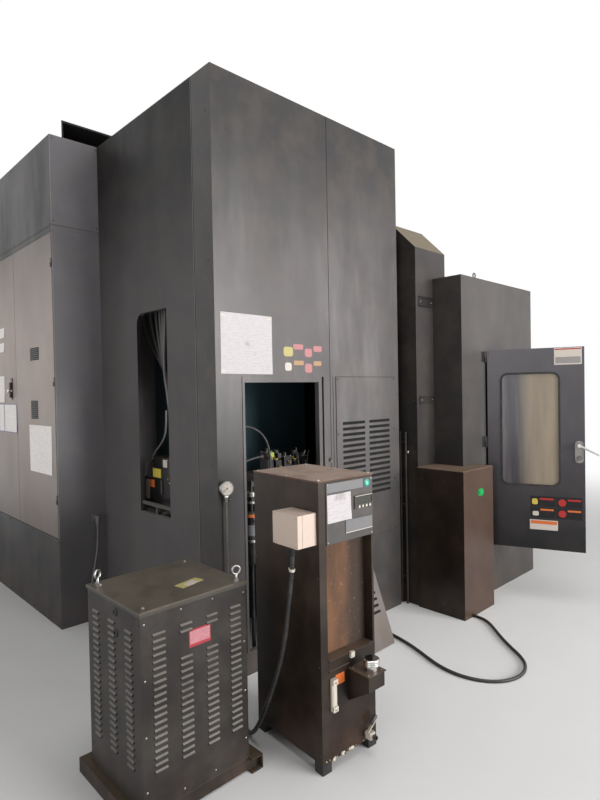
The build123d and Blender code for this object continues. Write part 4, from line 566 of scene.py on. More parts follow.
class Shape:
    """Mesh under construction: chamfered boxes, turned forms and tubes with their finishes."""

    def __init__(self, place: Matrix | None = None) -> None:
        """Start an empty shape.

        Args:
            place: Where the sub-assembly stands, applied when the mesh is made.
        """
        self.place = place or Matrix.Identity(4)
        self.local = Matrix.Identity(4)
        self.points: list[Vector] = []
        self.faces: list[list[int]] = []
        self.face_finish: list[int] = []
        self.finishes: list[Finish] = []

    def aim(self, point: Point, facing: Facing | Vector = Facing.UP, spin: float = 0.0) -> "Shape":
        """Work in a frame at a point from here on, its Z along a direction and its Y upward.

        Args:
            point: The frame's origin.
            facing: The frame's Z direction.
            spin: Turn about that direction in degrees.

        Returns:
            This shape.
        """
        out = Vector(facing.value if isinstance(facing, Facing) else facing).normalized()
        up = Vector((0, 0, 1)) if abs(out.z) < 0.95 else Vector((0, 1, 0))
        side = up.cross(out).normalized()
        turn = Matrix((side, out.cross(side), out)).transposed().to_4x4()
        self.local = Matrix.Translation(point) @ turn @ Matrix.Rotation(math.radians(spin), 4, "Z")
        return self

    def _point(self, point: Point) -> int:
        """Add one point in the frame of the last aim and give its number."""
        self.points.append(self.local @ Vector(point))
        return len(self.points) - 1

    def _face(self, ring: list[int], finish: Finish) -> None:
        """Add one face with its finish."""
        if finish not in self.finishes:
            self.finishes.append(finish)
        self.faces.append(ring)
        self.face_finish.append(self.finishes.index(finish))

    def box(self, low: Point, high: Point, finish: Finish, soft: float = 0.001) -> None:
        """Add a box with chamfered edges.

        Args:
            low: Its lowest corner.
            high: Its highest corner.
            finish: Its finish.
            soft: Width taken off each edge.
        """
        inset = min(soft, 0.3 * min(h - l for l, h in zip(low, high)))
        corners = {}
        for signs in product((0, 1), repeat=3):
            for axis in range(3):
                corners[signs, axis] = self._point(tuple(
                    (high[i] - (i != axis) * inset) if signs[i] else (low[i] + (i != axis) * inset)
                    for i in range(3)))
            self._face([corners[signs, axis] for axis in range(3)], finish)
        for axis in range(3):
            first, second = (axis + 1) % 3, (axis + 2) % 3
            for sign in (0, 1):
                ring = []
                for a, b in ((0, 0), (1, 0), (1, 1), (0, 1)):
                    signs = [0, 0, 0]
                    signs[axis], signs[first], signs[second] = sign, a, b
                    ring.append(corners[tuple(signs), axis])
                self._face(ring, finish)
            for a, b in product((0, 1), repeat=2):
                near = [0, 0, 0]
                near[first], near[second] = a, b
                far = list(near)
                far[axis] = 1
                near, far = tuple(near), tuple(far)
                self._face([corners[near, first], corners[far, first], corners[far, second],
                            corners[near, second]], finish)

    def prism(self, outline: tuple[tuple[float, float], ...], left: float, right: float,
              finish: Finish) -> None:
        """Add a side outline of Y and Z that runs from left to right.

        Args:
            outline: Its corners, one after another.
            left: X of its left end.
            right: X of its right end.
            finish: Its finish.
        """
        ends = [[self._point((x, y, z)) for y, z in outline] for x in (left, right)]
        for i in range(len(outline)):
            j = (i + 1) % len(outline)
            self._face([ends[0][i], ends[0][j], ends[1][j], ends[1][i]], finish)
        for end in ends:
            self._face(end, finish)

    def turned(self, profile: list[tuple[float, float]], finish: Finish, sides: int = 28) -> None:
        """Add a form turned about the frame's Z.

        Args:
            profile: Points of radius and height, from the bottom to the top.
            finish: Its finish.
            sides: Faces round it.
        """
        rings = []
        for radius, height in profile:
            if radius < 1e-6:
                rings.append([self._point((0, 0, height))])
            else:
                angles = [2 * math.pi * i / sides for i in range(sides)]
                rings.append([self._point((radius * math.cos(a), radius * math.sin(a), height))
                              for a in angles])
        for low, high in zip(rings, rings[1:]):
            for i in range(sides):
                j = (i + 1) % sides
                ring = [low[i % len(low)], low[j % len(low)], high[j % len(high)],
                        high[i % len(high)]]
                self._face(list(dict.fromkeys(ring)), finish)
        for ring in (rings[0], rings[-1]):
            if len(ring) > 1:
                self._face(list(ring), finish)

    def turned_at(self, point: Point, facing: Facing | Vector, profile: list[tuple[float, float]],
                  finish: Finish, sides: int = 28) -> None:
        """Aim at a point and add a turned form there."""
        self.aim(point, facing)
        self.turned(profile, finish, sides)

    def plate(self, width: float, height: float, thick: float, finish: Finish,
              round_by: float = 0.0) -> None:
        """Add a flat plate from the frame's origin, with round corners if asked.

        Args:
            width: Size along the frame's X.
            height: Size along the frame's Y.
            thick: Size along the frame's Z.
            finish: Its finish.
            round_by: Corner radius.
        """
        if not round_by:
            self.box((0, 0, 0), (width, height, thick), finish, min(0.0006, thick * 0.3))
            return
        rim = []
        right, top = width - round_by, height - round_by
        for x, y, start in ((right, top, 0), (round_by, top, 90), (round_by, round_by, 180),
                            (right, round_by, 270)):
            for step in range(7):
                angle = math.radians(start + 15 * step)
                rim.append((x + round_by * math.cos(angle), y + round_by * math.sin(angle)))
        low = [self._point((x, y, 0)) for x, y in rim]
        high = [self._point((x, y, thick)) for x, y in rim]
        for i in range(len(rim)):
            j = (i + 1) % len(rim)
            self._face([low[i], low[j], high[j], high[i]], finish)
        self._face(low, finish)
        self._face(high, finish)

    def plates(self, facing: Facing, rows: tuple[Plate, ...]) -> None:
        """Add several plates that look in one direction.

        Args:
            facing: Direction that they look in.
            rows: Lower corner, width, height, thickness, finish and corner radius of each.
        """
        for corner, width, height, thick, finish, round_by in rows:
            self.aim(corner, facing)
            self.plate(width, height, thick, finish, round_by)

    def sheet(self, width: float, height: float, finish: Finish, lift: float = 0.003) -> None:
        """Add a thin sheet stuck on a wall, its edges and one corner lifted a little.

        Args:
            width: Size along the frame's X.
            height: Size along the frame's Y.
            finish: Its finish.
            lift: How far the free corner stands off.
        """
        steps = 8
        layers = []
        for off in (0.0002, 0.0007):
            rows = []
            for j in range(steps + 1):
                row = []
                for i in range(steps + 1):
                    u, v = i / steps, j / steps
                    curl = lift * (max(0, u - 0.6) / 0.4) ** 2 * (max(0, 0.4 - v) / 0.4)
                    wave = 0.15 * lift * (1 + math.sin(7 * u + 3 * v))
                    row.append(self._point((u * width, v * height, off + curl + wave)))
                rows.append(row)
            layers.append(rows)
        back, front = layers
        for rows in layers:
            for j in range(steps):
                for i in range(steps):
                    self._face([rows[j][i], rows[j][i + 1], rows[j + 1][i + 1], rows[j + 1][i]],
                               finish)
        for i in range(steps):
            for j in (0, steps):
                self._face([back[j][i], back[j][i + 1], front[j][i + 1], front[j][i]], finish)
                self._face([back[i][j], back[i + 1][j], front[i + 1][j], front[i][j]], finish)

    def tube(self, path: list[Point], radius: float, finish: Finish, sides: int = 14) -> None:
        """Add a round tube along points, with flat ends.

        Args:
            path: Points of its middle line.
            radius: Its radius.
            finish: Its finish.
            sides: Faces round it.
        """
        line = [Vector(p) for p in path]
        upright = abs((line[1] - line[0]).normalized().z) >= 0.9
        normal = Vector((1, 0, 0)) if upright else Vector((0, 0, 1))
        rings = []
        for i, here in enumerate(line):
            ahead = line[min(i + 1, len(line) - 1)] - line[max(i - 1, 0)]
            along = ahead.normalized()
            normal = (normal - along * normal.dot(along)).normalized()
            side = along.cross(normal)
            ring = []
            for k in range(sides):
                angle = 2 * math.pi * k / sides
                ring.append(self._point(here + radius * (normal * math.cos(angle)
                                                         + side * math.sin(angle))))
            rings.append(ring)
        for low, high in zip(rings, rings[1:]):
            for k in range(sides):
                self._face([low[k], low[(k + 1) % sides], high[(k + 1) % sides], high[k]], finish)
        self._face(rings[0], finish)
        self._face(rings[-1], finish)

    def screw(self, point: Point, facing: Facing | Vector, radius: float, finish: Finish,
              drive: Drive = Drive.CROSS, spin: float = 0.0) -> None:
        """Add one screw head.

        Args:
            point: Middle of its underside.
            facing: Direction that it looks in.
            radius: Head radius.
            finish: Its finish.
            drive: Shape of its head.
            spin: Turn of its drive in degrees.
        """
        self.aim(point, facing, spin)
        if drive is Drive.HEX:
            self.turned([(radius * 1.25, 0), (radius * 1.25, radius * 0.16),
                         (radius * 1.2, radius * 0.2)], finish)
            self.turned([(radius, radius * 0.2), (radius, radius * 0.68),
                         (radius * 0.9, radius * 0.78)], finish, 6)
        elif drive is Drive.SOCKET:
            self.turned([(radius, 0), (radius, radius * 0.9), (radius * 0.92, radius),
                         (radius * 0.55, radius)], finish)
            # The socket is a dark hexagon of painted shade.
            self.turned([(radius * 0.5, radius * 0.9), (radius * 0.5, radius * 1.004)],
                        BLACK_FILM_AND_PAINTED_SHADE, 6)
        else:
            self.turned([(radius, 0), (radius, radius * 0.22), (radius * 0.86, radius * 0.42),
                         (radius * 0.5, radius * 0.54), (0, radius * 0.58)], finish)
            # The cross recess is two dark bars of painted shade.
            for low, high in (((-0.62, -0.09), (0.62, 0.09)), ((-0.09, -0.62), (0.09, 0.62))):
                self.box((low[0] * radius, low[1] * radius, radius * 0.4),
                         (high[0] * radius, high[1] * radius, radius * 0.585), BLACK_FILM_AND_PAINTED_SHADE,
                         radius * 0.02)

    def screws(self, points: list[Point], facing: Facing, radius: float, finish: Finish,
               drive: Drive = Drive.CROSS) -> None:
        """Add several screw heads, each turned by chance, the same on every run."""
        chance = random.Random(len(points) * 7 + int(radius * 1e5))
        for point in points:
            self.screw(point, facing, radius, finish, drive, chance.uniform(0, 90))

    def lettering(self, text: str, point: Point, facing: Facing, size: float,
                  finish: Finish) -> None:
        """Add flat figures, centred on a point.

        Args:
            text: The figures.
            point: Their middle.
            facing: Direction that they look in.
            size: Their height.
            finish: Their finish.
        """
        curve = bpy.data.curves.new("figures", "FONT")
        curve.body, curve.size, curve.align_x, curve.align_y = text, size, "CENTER", "CENTER"
        curve.extrude = FIGURE_THICKNESS
        carrier = bpy.data.objects.new("figures", curve)
        mesh = bpy.data.meshes.new_from_object(carrier)
        self.aim(point, facing)
        numbers = [self._point(tuple(vertex.co)) for vertex in mesh.vertices]
        for polygon in mesh.polygons:
            self._face([numbers[i] for i in polygon.vertices], finish)
        bpy.data.objects.remove(carrier)
        bpy.data.curves.remove(curve)
        bpy.data.meshes.remove(mesh)

    def build(self, name: str, body: str, slot: str | None = None) -> bpy.types.Object:
        """Make the object and let it ride on its body.

        Args:
            name: The piece's name.
            body: The body that carries it.
            slot: The record's material slot, if it takes its finish from one; not used.

        Returns:
            The new object.
        """
        mesh = bpy.data.meshes.new(name)
        mesh.from_pydata([tuple(self.place @ p) for p in self.points], [], self.faces)
        for finish in self.finishes:
            mesh.materials.append(finish.material())
        mesh.polygons.foreach_set("material_index", self.face_finish)
        work = bmesh.new()
        work.from_mesh(mesh)
        bmesh.ops.recalc_face_normals(work, faces=work.faces)
        work.to_mesh(mesh)
        work.free()
        mesh.shade_smooth()
        mesh.set_sharp_from_angle(angle=SHARP_ANGLE)
        piece = bpy.data.objects.new(name, mesh)
        bpy.context.scene.collection.objects.link(piece)
        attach(piece, body)
        return piece


def dress(finish: Finish, *nodes: str, edge: float = 0.0) -> None:
    """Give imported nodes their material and, if asked, softened edges.

    Args:
        finish: The finish.
        nodes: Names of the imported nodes.
        edge: Width of the softened edges.
    """
    for name in nodes:
        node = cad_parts[name]
        if not node.material_slots:
            node.data.materials.append(finish.material())
        for slot in node.material_slots:
            slot.material = finish.material()
        if edge:
            weld = node.modifiers.new("weld", "WELD")
            weld.merge_threshold = WELD_GAP
            soft = node.modifiers.new("soft_edges", "BEVEL")
            soft.width = edge
            soft.segments = BEVEL_SEGMENTS
            soft.limit_method = "ANGLE"
            soft.angle_limit = BEVEL_ANGLE
            soft.harden_normals = True


@dataclass
class SubAssembly:
    """One group of nodes and the pieces that are added to it."""

    body: str = "machine"

    def dress(self) -> None:
        """Give the group's nodes their finishes."""

    def build(self) -> list[bpy.types.Object]:
        """Build the group's own pieces.

        Returns:
            The new pieces.
        """
        return []


@dataclass
class Studio:
    """Camera, floor, lamps and world."""

    eye: Point = (-1.730, -2.452, 1.600)
    heading: float = 43.754
    dip: float = 1.102
    roll: float = -1.048
    focal_share: float = 556.836 / 800
    sensor: float = 36.0
    floor_reach: float = 90
    fade_middle: Point = (1.1, 0.9, 0.0)
    fade: tuple[float, float] = (3.0, 8.5)
    fill_light: float = 0.3

    def camera(self) -> None:
        """Set the camera at the photograph's viewing angle."""
        data = bpy.data.cameras.new("camera")
        data.sensor_width, data.lens = self.sensor, self.sensor * self.focal_share
        data.clip_start, data.clip_end = 0.05, 200
        yaw, dip, roll = (math.radians(a) for a in (self.heading, self.dip, self.roll))
        ahead = Vector((math.sin(yaw) * math.cos(dip), math.cos(yaw) * math.cos(dip),
                        -math.sin(dip)))
        right = Vector((math.cos(yaw), -math.sin(yaw), 0))
        up = right.cross(ahead)
        side = right * math.cos(roll) + up * math.sin(roll)
        top = up * math.cos(roll) - right * math.sin(roll)
        camera = bpy.data.objects.new("camera", data)
        turn = Matrix((side, top, -ahead)).transposed().to_4x4()
        camera.matrix_world = Matrix.Translation(self.eye) @ turn
        bpy.context.scene.collection.objects.link(camera)
        bpy.context.scene.camera = camera

    def floor(self) -> None:
        """Lay a plain pale floor that fades into the background far out."""
        mesh = bpy.data.meshes.new("floor")
        far = self.floor_reach
        corners = [(-far, -far, 0), (far, -far, 0), (far, far, 0), (-far, far, 0)]
        mesh.from_pydata(corners, [], [(0, 1, 2, 3)])
        graph = Graph("floor_surface")
        grain = graph.noise(3, 3)
        graph.shade(Base_Color=graph.mix(grain, (0.80, 0.79, 0.78), (0.84, 0.835, 0.83)),
                    Roughness=0.9)
        graph.shade(Specular_IOR_Level=0.1)
        distance = graph.tree.nodes.new("ShaderNodeVectorMath")
        distance.operation = "DISTANCE"
        graph.put(distance.inputs[0], graph.coords)
        distance.inputs[1].default_value = self.fade_middle
        glow = graph.tree.nodes.new("ShaderNodeEmission")
        glow.inputs["Strength"].default_value = 1.0
        blend = graph.tree.nodes.new("ShaderNodeMixShader")
        graph.put(blend.inputs["Fac"], graph.spread(distance.outputs["Value"], *self.fade))
        graph.put(blend.inputs[1], graph.shader.outputs[0])
        graph.put(blend.inputs[2], glow.outputs[0])
        graph.put(graph.tree.nodes["Material Output"].inputs["Surface"], blend.outputs[0])
        mesh.materials.append(graph.material)
        floor = bpy.data.objects.new("floor", mesh)
        bpy.context.scene.collection.objects.link(floor)

    def lamp(self, name: str, place: Point, target: Point, size: tuple[float, float],
             power: float) -> None:
        """Hang one soft lamp.

        Args:
            name: Its name.
            place: Its middle.
            target: The point that it faces.
            size: Its width and height.
            power: Its power in watts.
        """
        data = bpy.data.lights.new(name, "AREA")
        data.shape, data.size, data.size_y = "RECTANGLE", size[0], size[1]
        data.energy = power
        lamp = bpy.data.objects.new(name, data)
        lamp.location = place
        lamp.rotation_euler = (Vector(target) - Vector(place)).to_track_quat("-Z", "Y").to_euler()
        bpy.context.scene.collection.objects.link(lamp)

    def world(self) -> None:
        """Make a white background that glass and metal show too, and a softer fill for the rest."""
        world = bpy.data.worlds.new("studio")
        world.use_nodes = True
        tree = world.node_tree
        path = tree.nodes.new("ShaderNodeLightPath")
        seen = path.outputs["Is Camera Ray"]
        for name in ("Is Glossy Ray", "Is Transmission Ray"):
            either = tree.nodes.new("ShaderNodeMath")
            either.operation = "MAXIMUM"
            tree.links.new(seen, either.inputs[0])
            tree.links.new(path.outputs[name], either.inputs[1])
            seen = either.outputs[0]
        strength = tree.nodes.new("ShaderNodeMapRange")
        strength.inputs["To Min"].default_value = self.fill_light
        strength.inputs["To Max"].default_value = 1.0
        tree.links.new(seen, strength.inputs["Value"])
        tree.links.new(strength.outputs["Result"], tree.nodes["Background"].inputs["Strength"])
        tree.nodes["Background"].inputs["Color"].default_value = (1, 1, 1, 1)
        bpy.context.scene.world = world

    def build(self) -> None:
        """Set up the whole studio."""
        bpy.context.scene.view_settings.view_transform = "Standard"
        self.camera()
        self.floor()
        for name, place, target, size, power in (
                ("key", (2.8, -7.8, 2.4), (0.8, 0.0, 1.2), (5, 3), 640),
                ("fill", (-7.0, -1.5, 1.4), (0.0, 0.8, 1.1), (4, 2.4), 80),
                ("top", (0.2, -1.6, 7.5), (0.2, -0.6, 0.8), (5, 4), 130)):
            self.lamp(name, place, target, size, power)
        self.world()


@dataclass
class Cables(SubAssembly):
    """The three free cables, with the fittings that they leave from and go into."""

    floor_gap: float = 0.0003
    conduit_radius: float = 0.010
    feed_radius: float = 0.009
    supply_radius: float = 0.008

    def cord(self, name: str, node: str, route: list[Point], radius: float, length: float,
             finish: Finish, slot: str) -> bpy.types.Object:
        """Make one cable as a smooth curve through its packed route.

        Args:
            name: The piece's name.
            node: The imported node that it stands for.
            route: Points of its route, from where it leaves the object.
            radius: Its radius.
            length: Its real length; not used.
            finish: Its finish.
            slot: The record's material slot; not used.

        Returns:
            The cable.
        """
        curve = bpy.data.curves.new(name, "CURVE")
        curve.dimensions = "3D"
        curve.bevel_depth, curve.bevel_resolution, curve.use_fill_caps = radius, 5, True
        spline = curve.splines.new("NURBS")
        spline.points.add(len(route) - 1)
        for point, place in zip(spline.points, route):
            point.co = (*place, 1)
        spline.order_u = 3
        spline.use_endpoint_u = True
        spline.resolution_u = 8
        curve.materials.append(finish.material())
        cable = bpy.data.objects.new(name, curve)
        bpy.context.scene.collection.objects.link(cable)
        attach(cable, self.body)
        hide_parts(node)
        return cable

    def glands(self) -> bpy.types.Object:
        """Put a gland or a rubber sleeve on each cable's ends."""
        shape = Shape()
        shape.turned_at((-.204, -.798, .957), Facing.DOWN, [
            (.0155, 0), (.0155, .010), (.0140, .012), (.0140, .024), (.0112, .032)],
            BLACK_PLASTIC, 12)
        for point, facing, radius in (
                ((.092, 0, .0143), Facing.FRONT, .0105), ((1.154, 0, .0123), Facing.FRONT, .0095),
                ((-.545, -.165, .092), Facing.BACK, .0085),
                ((1.772, -.494, .0123), Facing.FRONT, .0095)):
            shape.turned_at(point, facing, [(radius + .0015, .0006), (radius + .0015, .012),
                                            (radius + .0003, .026)], RUBBER, 20)
        shape.turned_at((-.077, 1.347, .690), Facing.DOWN, [(.013, 0), (.013, .008), (.0095, .024)],
                        GREY_PLASTIC, 16)
        return shape.build("cable_glands", self.body, "black_plastic")

    def tie(self) -> bpy.types.Object:
        """Put the pale tie round the conduit under the terminal box."""
        shape = Shape()
        shape.turned_at((-.2030, -.7915, .8645), Vector((.002, .012, -.068)), [
            (.0112, -.006), (.0122, -.005), (.0122, .005), (.0112, .006)], IVORY_PLASTIC, 24)
        shape.box((-.004, .010, -.004), (.004, .018, .004), IVORY_PLASTIC, .0008)
        return shape.build("conduit_tie", self.body, "white_plastic")

    def build(self) -> list[bpy.types.Object]:
        """Build the cables and their fittings.

        Returns:
            The new pieces.
        """
        low = self.conduit_radius + self.floor_gap
        conduit = self.cord("conduit_line", "cooler_conduit", [
            (-.204, -.798, .957), (-.204, -.798, .900), (-.202, -.786, .832), (-.203, -.776, .762),
            (-.204, -.764, .690), (-.202, -.750, .618), (-.199, -.732, .546), (-.198, -.711, .474),
            (-.199, -.686, .402), (-.199, -.657, .332), (-.197, -.624, .262), (-.193, -.588, .196),
            (-.188, -.550, .134), (-.181, -.512, .080), (-.171, -.470, .038), (-.156, -.422, low),
            (-.132, -.362, low), (-.098, -.300, low), (-.054, -.246, low), (-.004, -.196, low),
            (.046, -.140, low), (.092, -.076, low), (.092, 0, low)],
            self.conduit_radius, 1.555, CONDUIT, "black_cable")
        low = self.feed_radius + self.floor_gap
        feed = self.cord("floor_line", "floor_cable", [
            (1.772, -.494, low), (1.772, -.562, low), (1.732, -.634, low), (1.668, -.704, low),
            (1.602, -.772, low), (1.538, -.844, low), (1.478, -.920, low), (1.420, -.996, low),
            (1.348, -1.056, low), (1.258, -1.086, low), (1.164, -1.082, low), (1.078, -1.040, low),
            (1.018, -.968, low), (.988, -.880, low), (.984, -.788, low), (1.002, -.696, low),
            (1.036, -.606, low), (1.074, -.516, low), (1.106, -.424, low), (1.130, -.330, low),
            (1.148, -.236, low), (1.154, -.126, low), (1.154, 0, low)],
            self.feed_radius, 2.091, CABLE_BLACK, "black_cable")
        low = self.supply_radius + self.floor_gap
        supply = self.cord("supply_line", "cabinet_cable", [
            (-.077, 1.347, .690), (-.077, 1.347, .610), (-.084, 1.344, .520), (-.100, 1.340, .430),
            (-.118, 1.342, .340), (-.134, 1.346, .250), (-.148, 1.340, .165), (-.162, 1.318, .090),
            (-.180, 1.272, .034), (-.200, 1.200, low), (-.218, 1.110, low), (-.240, 1.010, low),
            (-.262, .905, low), (-.276, .800, low), (-.288, .690, low), (-.308, .580, low),
            (-.340, .475, low), (-.378, .372, low), (-.419, .272, low), (-.464, .174, low),
            (-.502, .080, low), (-.528, 0, .024), (-.542, -.062, .064), (-.545, -.114, .092),
            (-.545, -.165, .092)], self.supply_radius, 2.196, CABLE_GREY, "grey_cable")
        return [conduit, feed, supply, self.glands(), self.tie()]


@dataclass
class ColumnEnclosure(SubAssembly):
    """Tall sheet enclosure with its louvred cover, the leaning cover, sheets, plates and lock."""

    cover: tuple[float, float, float, float] = (0.941, 0.570, 0.627, 1.105)
    cover_face: float = -0.004
    cover_gap: float = 0.003
    slot_columns: tuple[float, ...] = (0.998, 1.271)
    slot_length: float = 0.231
    slot_rows: int = 14
    slot_top: float = 1.369
    slot_pitch: float = 0.0378
    notice: tuple[float, float] = (0.034, 1.692)
    lock_x: float = 0.8755
    lean: float = -20.79
    lean_foot: Point = (0.5, -0.3474, 0.00497)

    def dress(self) -> None:
        """Give the enclosure's nodes their finishes."""
        dress(CORNER_SHADED_FRONT_PAINT, "front_panel_left")
        dress(ENCLOSURE, "front_panel_right", "right_panel", "column_roof", "service_frame",
              "louvred_cover")
        dress(SIDE_PAINT, "left_panel", "side_sill")
        dress(COVER_PAINT, "loose_cover")

    def cover_screws(self) -> bpy.types.Object:
        """Put a dark screw at each corner of the cover and on its long sides."""
        shape = Shape()
        x, z, width, height = self.cover
        inset, count = 0.014, 4
        rows = [z + inset + i * (height - 2 * inset) / (count - 1) for i in range(count)]
        spots = [(x + side, self.cover_face, row) for row in rows
                 for side in (inset, width - inset)]
        shape.screws(spots, Facing.FRONT, 0.0065, DARK_STEEL)
        return shape.build("cover_screws", self.body, "steel")

    def notice_sheet(self) -> bpy.types.Object:
        """Stick a large white sheet over the service opening, with tape on its corners."""
        shape = Shape()
        left, bottom = self.notice
        shape.aim((left, 0, bottom), Facing.FRONT, spin=-0.4)
        shape.sheet(0.364, 0.334, PAPER)
        for z, x in product((0.31, 0.006), (0.004, 0.336)):
            shape.aim((left + x, -0.0012, bottom + z), Facing.FRONT, spin=x * 20)
            shape.plate(0.026, 0.014, 0.0004, FILM_WHITE)
        return shape.build("notice_sheet", self.body)

    def lock(self) -> bpy.types.Object:
        """Put the small key lock beside the opening."""
        shape = Shape()
        shape.turned_at((self.lock_x, 0, 1.146), Facing.FRONT, [
            (.0125, 0), (.0125, .003), (.0105, .0045), (.0105, .009), (.009, .0102), (0, .0102)],
            DARK_STEEL)
        # The keyway is a dark bar of painted shade.
        shape.box((-.0012, -.006, .0095), (.0012, .006, .0106), BLACK_FILM_AND_PAINTED_SHADE, .0002)
        shape.aim((self.lock_x, -0.0104, 1.128), Facing.FRONT)
        shape.plate(0.004, 0.012, 0.0016, STEEL, 0.0016)
        return shape.build("panel_lock", self.body, "steel")

    def colour_plates(self) -> bpy.types.Object:
        """Stick the faded colour fields over the service opening."""
        fields = colour_fields(Shape(), (0.49, 0, 1.702), 0.33, 0.172, FRONT_FIELDS)
        return fields.build("front_colour_fields", self.body)

    def panel_screws(self) -> bpy.types.Object:
        """Put the screws of the outer panels, and a painted highlight along the edge of the folded
        seam.
        """
        shape = Shape()
        shape.screws(grid(0, (0.05, 1.35), (0.35, 1.2, 2.3, 3.1)), Facing.LEFT, 0.005, DARK_STEEL)
        shape.aim((0, 0, 0))
        # A thin pale strip of painted highlight along the fold's edge.
        shape.box((-0.0007, 0.1842, 0.01), (-0.0001, 0.1866, 3.332), PAINTED_EDGE_HIGHLIGHT, 0.0001)
        shape.screws(grid(1.599, 0, (0.25, 0.9, 1.55, 2.4, 3.2)), Facing.FRONT, 0.0045,
                     DARK_STEEL)
        return shape.build("panel_screws", self.body, "steel")

    def filler(self) -> bpy.types.Object:
        """Fill the strip's seam over the louvred cover, where the sheet is plain."""
        shape = Shape()
        shape.box((0.9130, 0.0001, 1.680), (0.9170, 0.0038, 3.3335), ENCLOSURE, 0.00005)
        return shape.build("seam_filler", self.body)

    def shadow_plates(self) -> bpy.types.Object:
        """Paint shadow on the cover: dark plates behind its slots, dark strips on their lips and a
        dark gap round it.
        """
        shape = Shape()
        for left, right in ((0.9930, 1.2330), (1.2660, 1.5060)):
            shape.box((left, 0.0010, 0.8650), (right, 0.0030, 1.3820), PAINTED_SHADOW_BLACK, 0.0003)
        # Dark strips of painted shade along the upper and lower lip of each slot.
        for left, row in product(self.slot_columns, range(self.slot_rows)):
            middle = self.slot_top - self.slot_pitch * row
            for low, high in ((-.0100, -.0080), (.0080, .0100)):
                shape.box((left - .001, -.0046, middle + low),
                          (left + self.slot_length, -.0041, middle + high), PAINTED_SHADOW_BLACK, 0.0001)
        # A dark strip of painted shadow round the cover's edge.
        (x, z, width, height), gap = self.cover, self.cover_gap
        for low, high in (((x - gap, z - gap), (x, z + height + gap)),
                          ((x + width, z - gap), (x + width + gap, z + height + gap)),
                          ((x, z - gap), (x + width, z)),
                          ((x, z + height), (x + width, z + height + gap))):
            shape.box((low[0], -0.0006, low[1]), (high[0], -0.0001, high[1]), PAINTED_SHADOW_BLACK, 0.0001)
        return shape.build("cover_shadow_plates", self.body)

    def loose_shadow(self) -> bpy.types.Object:
        """Back the slots of the leaning cover with dark plates of painted shadow."""
        tilt = Matrix.Rotation(math.radians(self.lean), 4, "X")
        shape = Shape(Matrix.Translation(self.lean_foot) @ tilt)
        for left, right in ((0.038, 0.259), (0.311, 0.532)):
            shape.box((left, 0.0046, 0.190), (right, 0.0062, 0.528), PAINTED_SHADOW_BLACK, 0.0003)
        return shape.build("loose_cover_shadow", self.body)

    def build(self) -> list[bpy.types.Object]:
        """Build the enclosure's own pieces."""
        return [self.colour_plates(), self.panel_screws(), self.cover_screws(),
                self.notice_sheet(), self.lock(), self.filler(), self.shadow_plates(),
                self.loose_shadow()]


def colour_fields(shape: Shape, corner: Point, width: float, height: float,
                  fields: tuple[Field, ...], ground: Finish | None = None) -> Shape:
    """Lay plain coloured fields that look to the front, on four dark grounds if one is given.

    Args:
        shape: The shape that takes them.
        corner: Their lower left corner.
        width: Their whole width.
        height: Their whole height.
        fields: Place, size and finish of each, in shares of the width and the height.
        ground: Finish of the grounds, or None.

    Returns:
        The shape.
    """
    shape.aim(corner, Facing.FRONT)
    base = shape.local.copy()
    if ground:
        for x, y in product((0, width / 2), (0, height / 2)):
            shape.local = base @ Matrix.Translation((x + 0.002, y + 0.002, 0))
            shape.plate(width / 2 - 0.004, height / 2 - 0.004, 0.0004, ground, 0.004)
    for x, y, w, h, finish in fields:
        w, h = w * width, h * height
        shape.local = base @ Matrix.Translation((x * width, y * height, 0.0003))
        if ground and finish is FILM_RED and h > w:
            shape.local = shape.local @ Matrix.Translation((w / 2, h / 2, 0))
            shape.turned([(h * 0.52, 0), (h * 0.52, 0.0004), (0, 0.0005)], finish, 36)
        else:
            shape.plate(w, h, 0.0005, finish, min(w, h) * 0.3)
    return shape


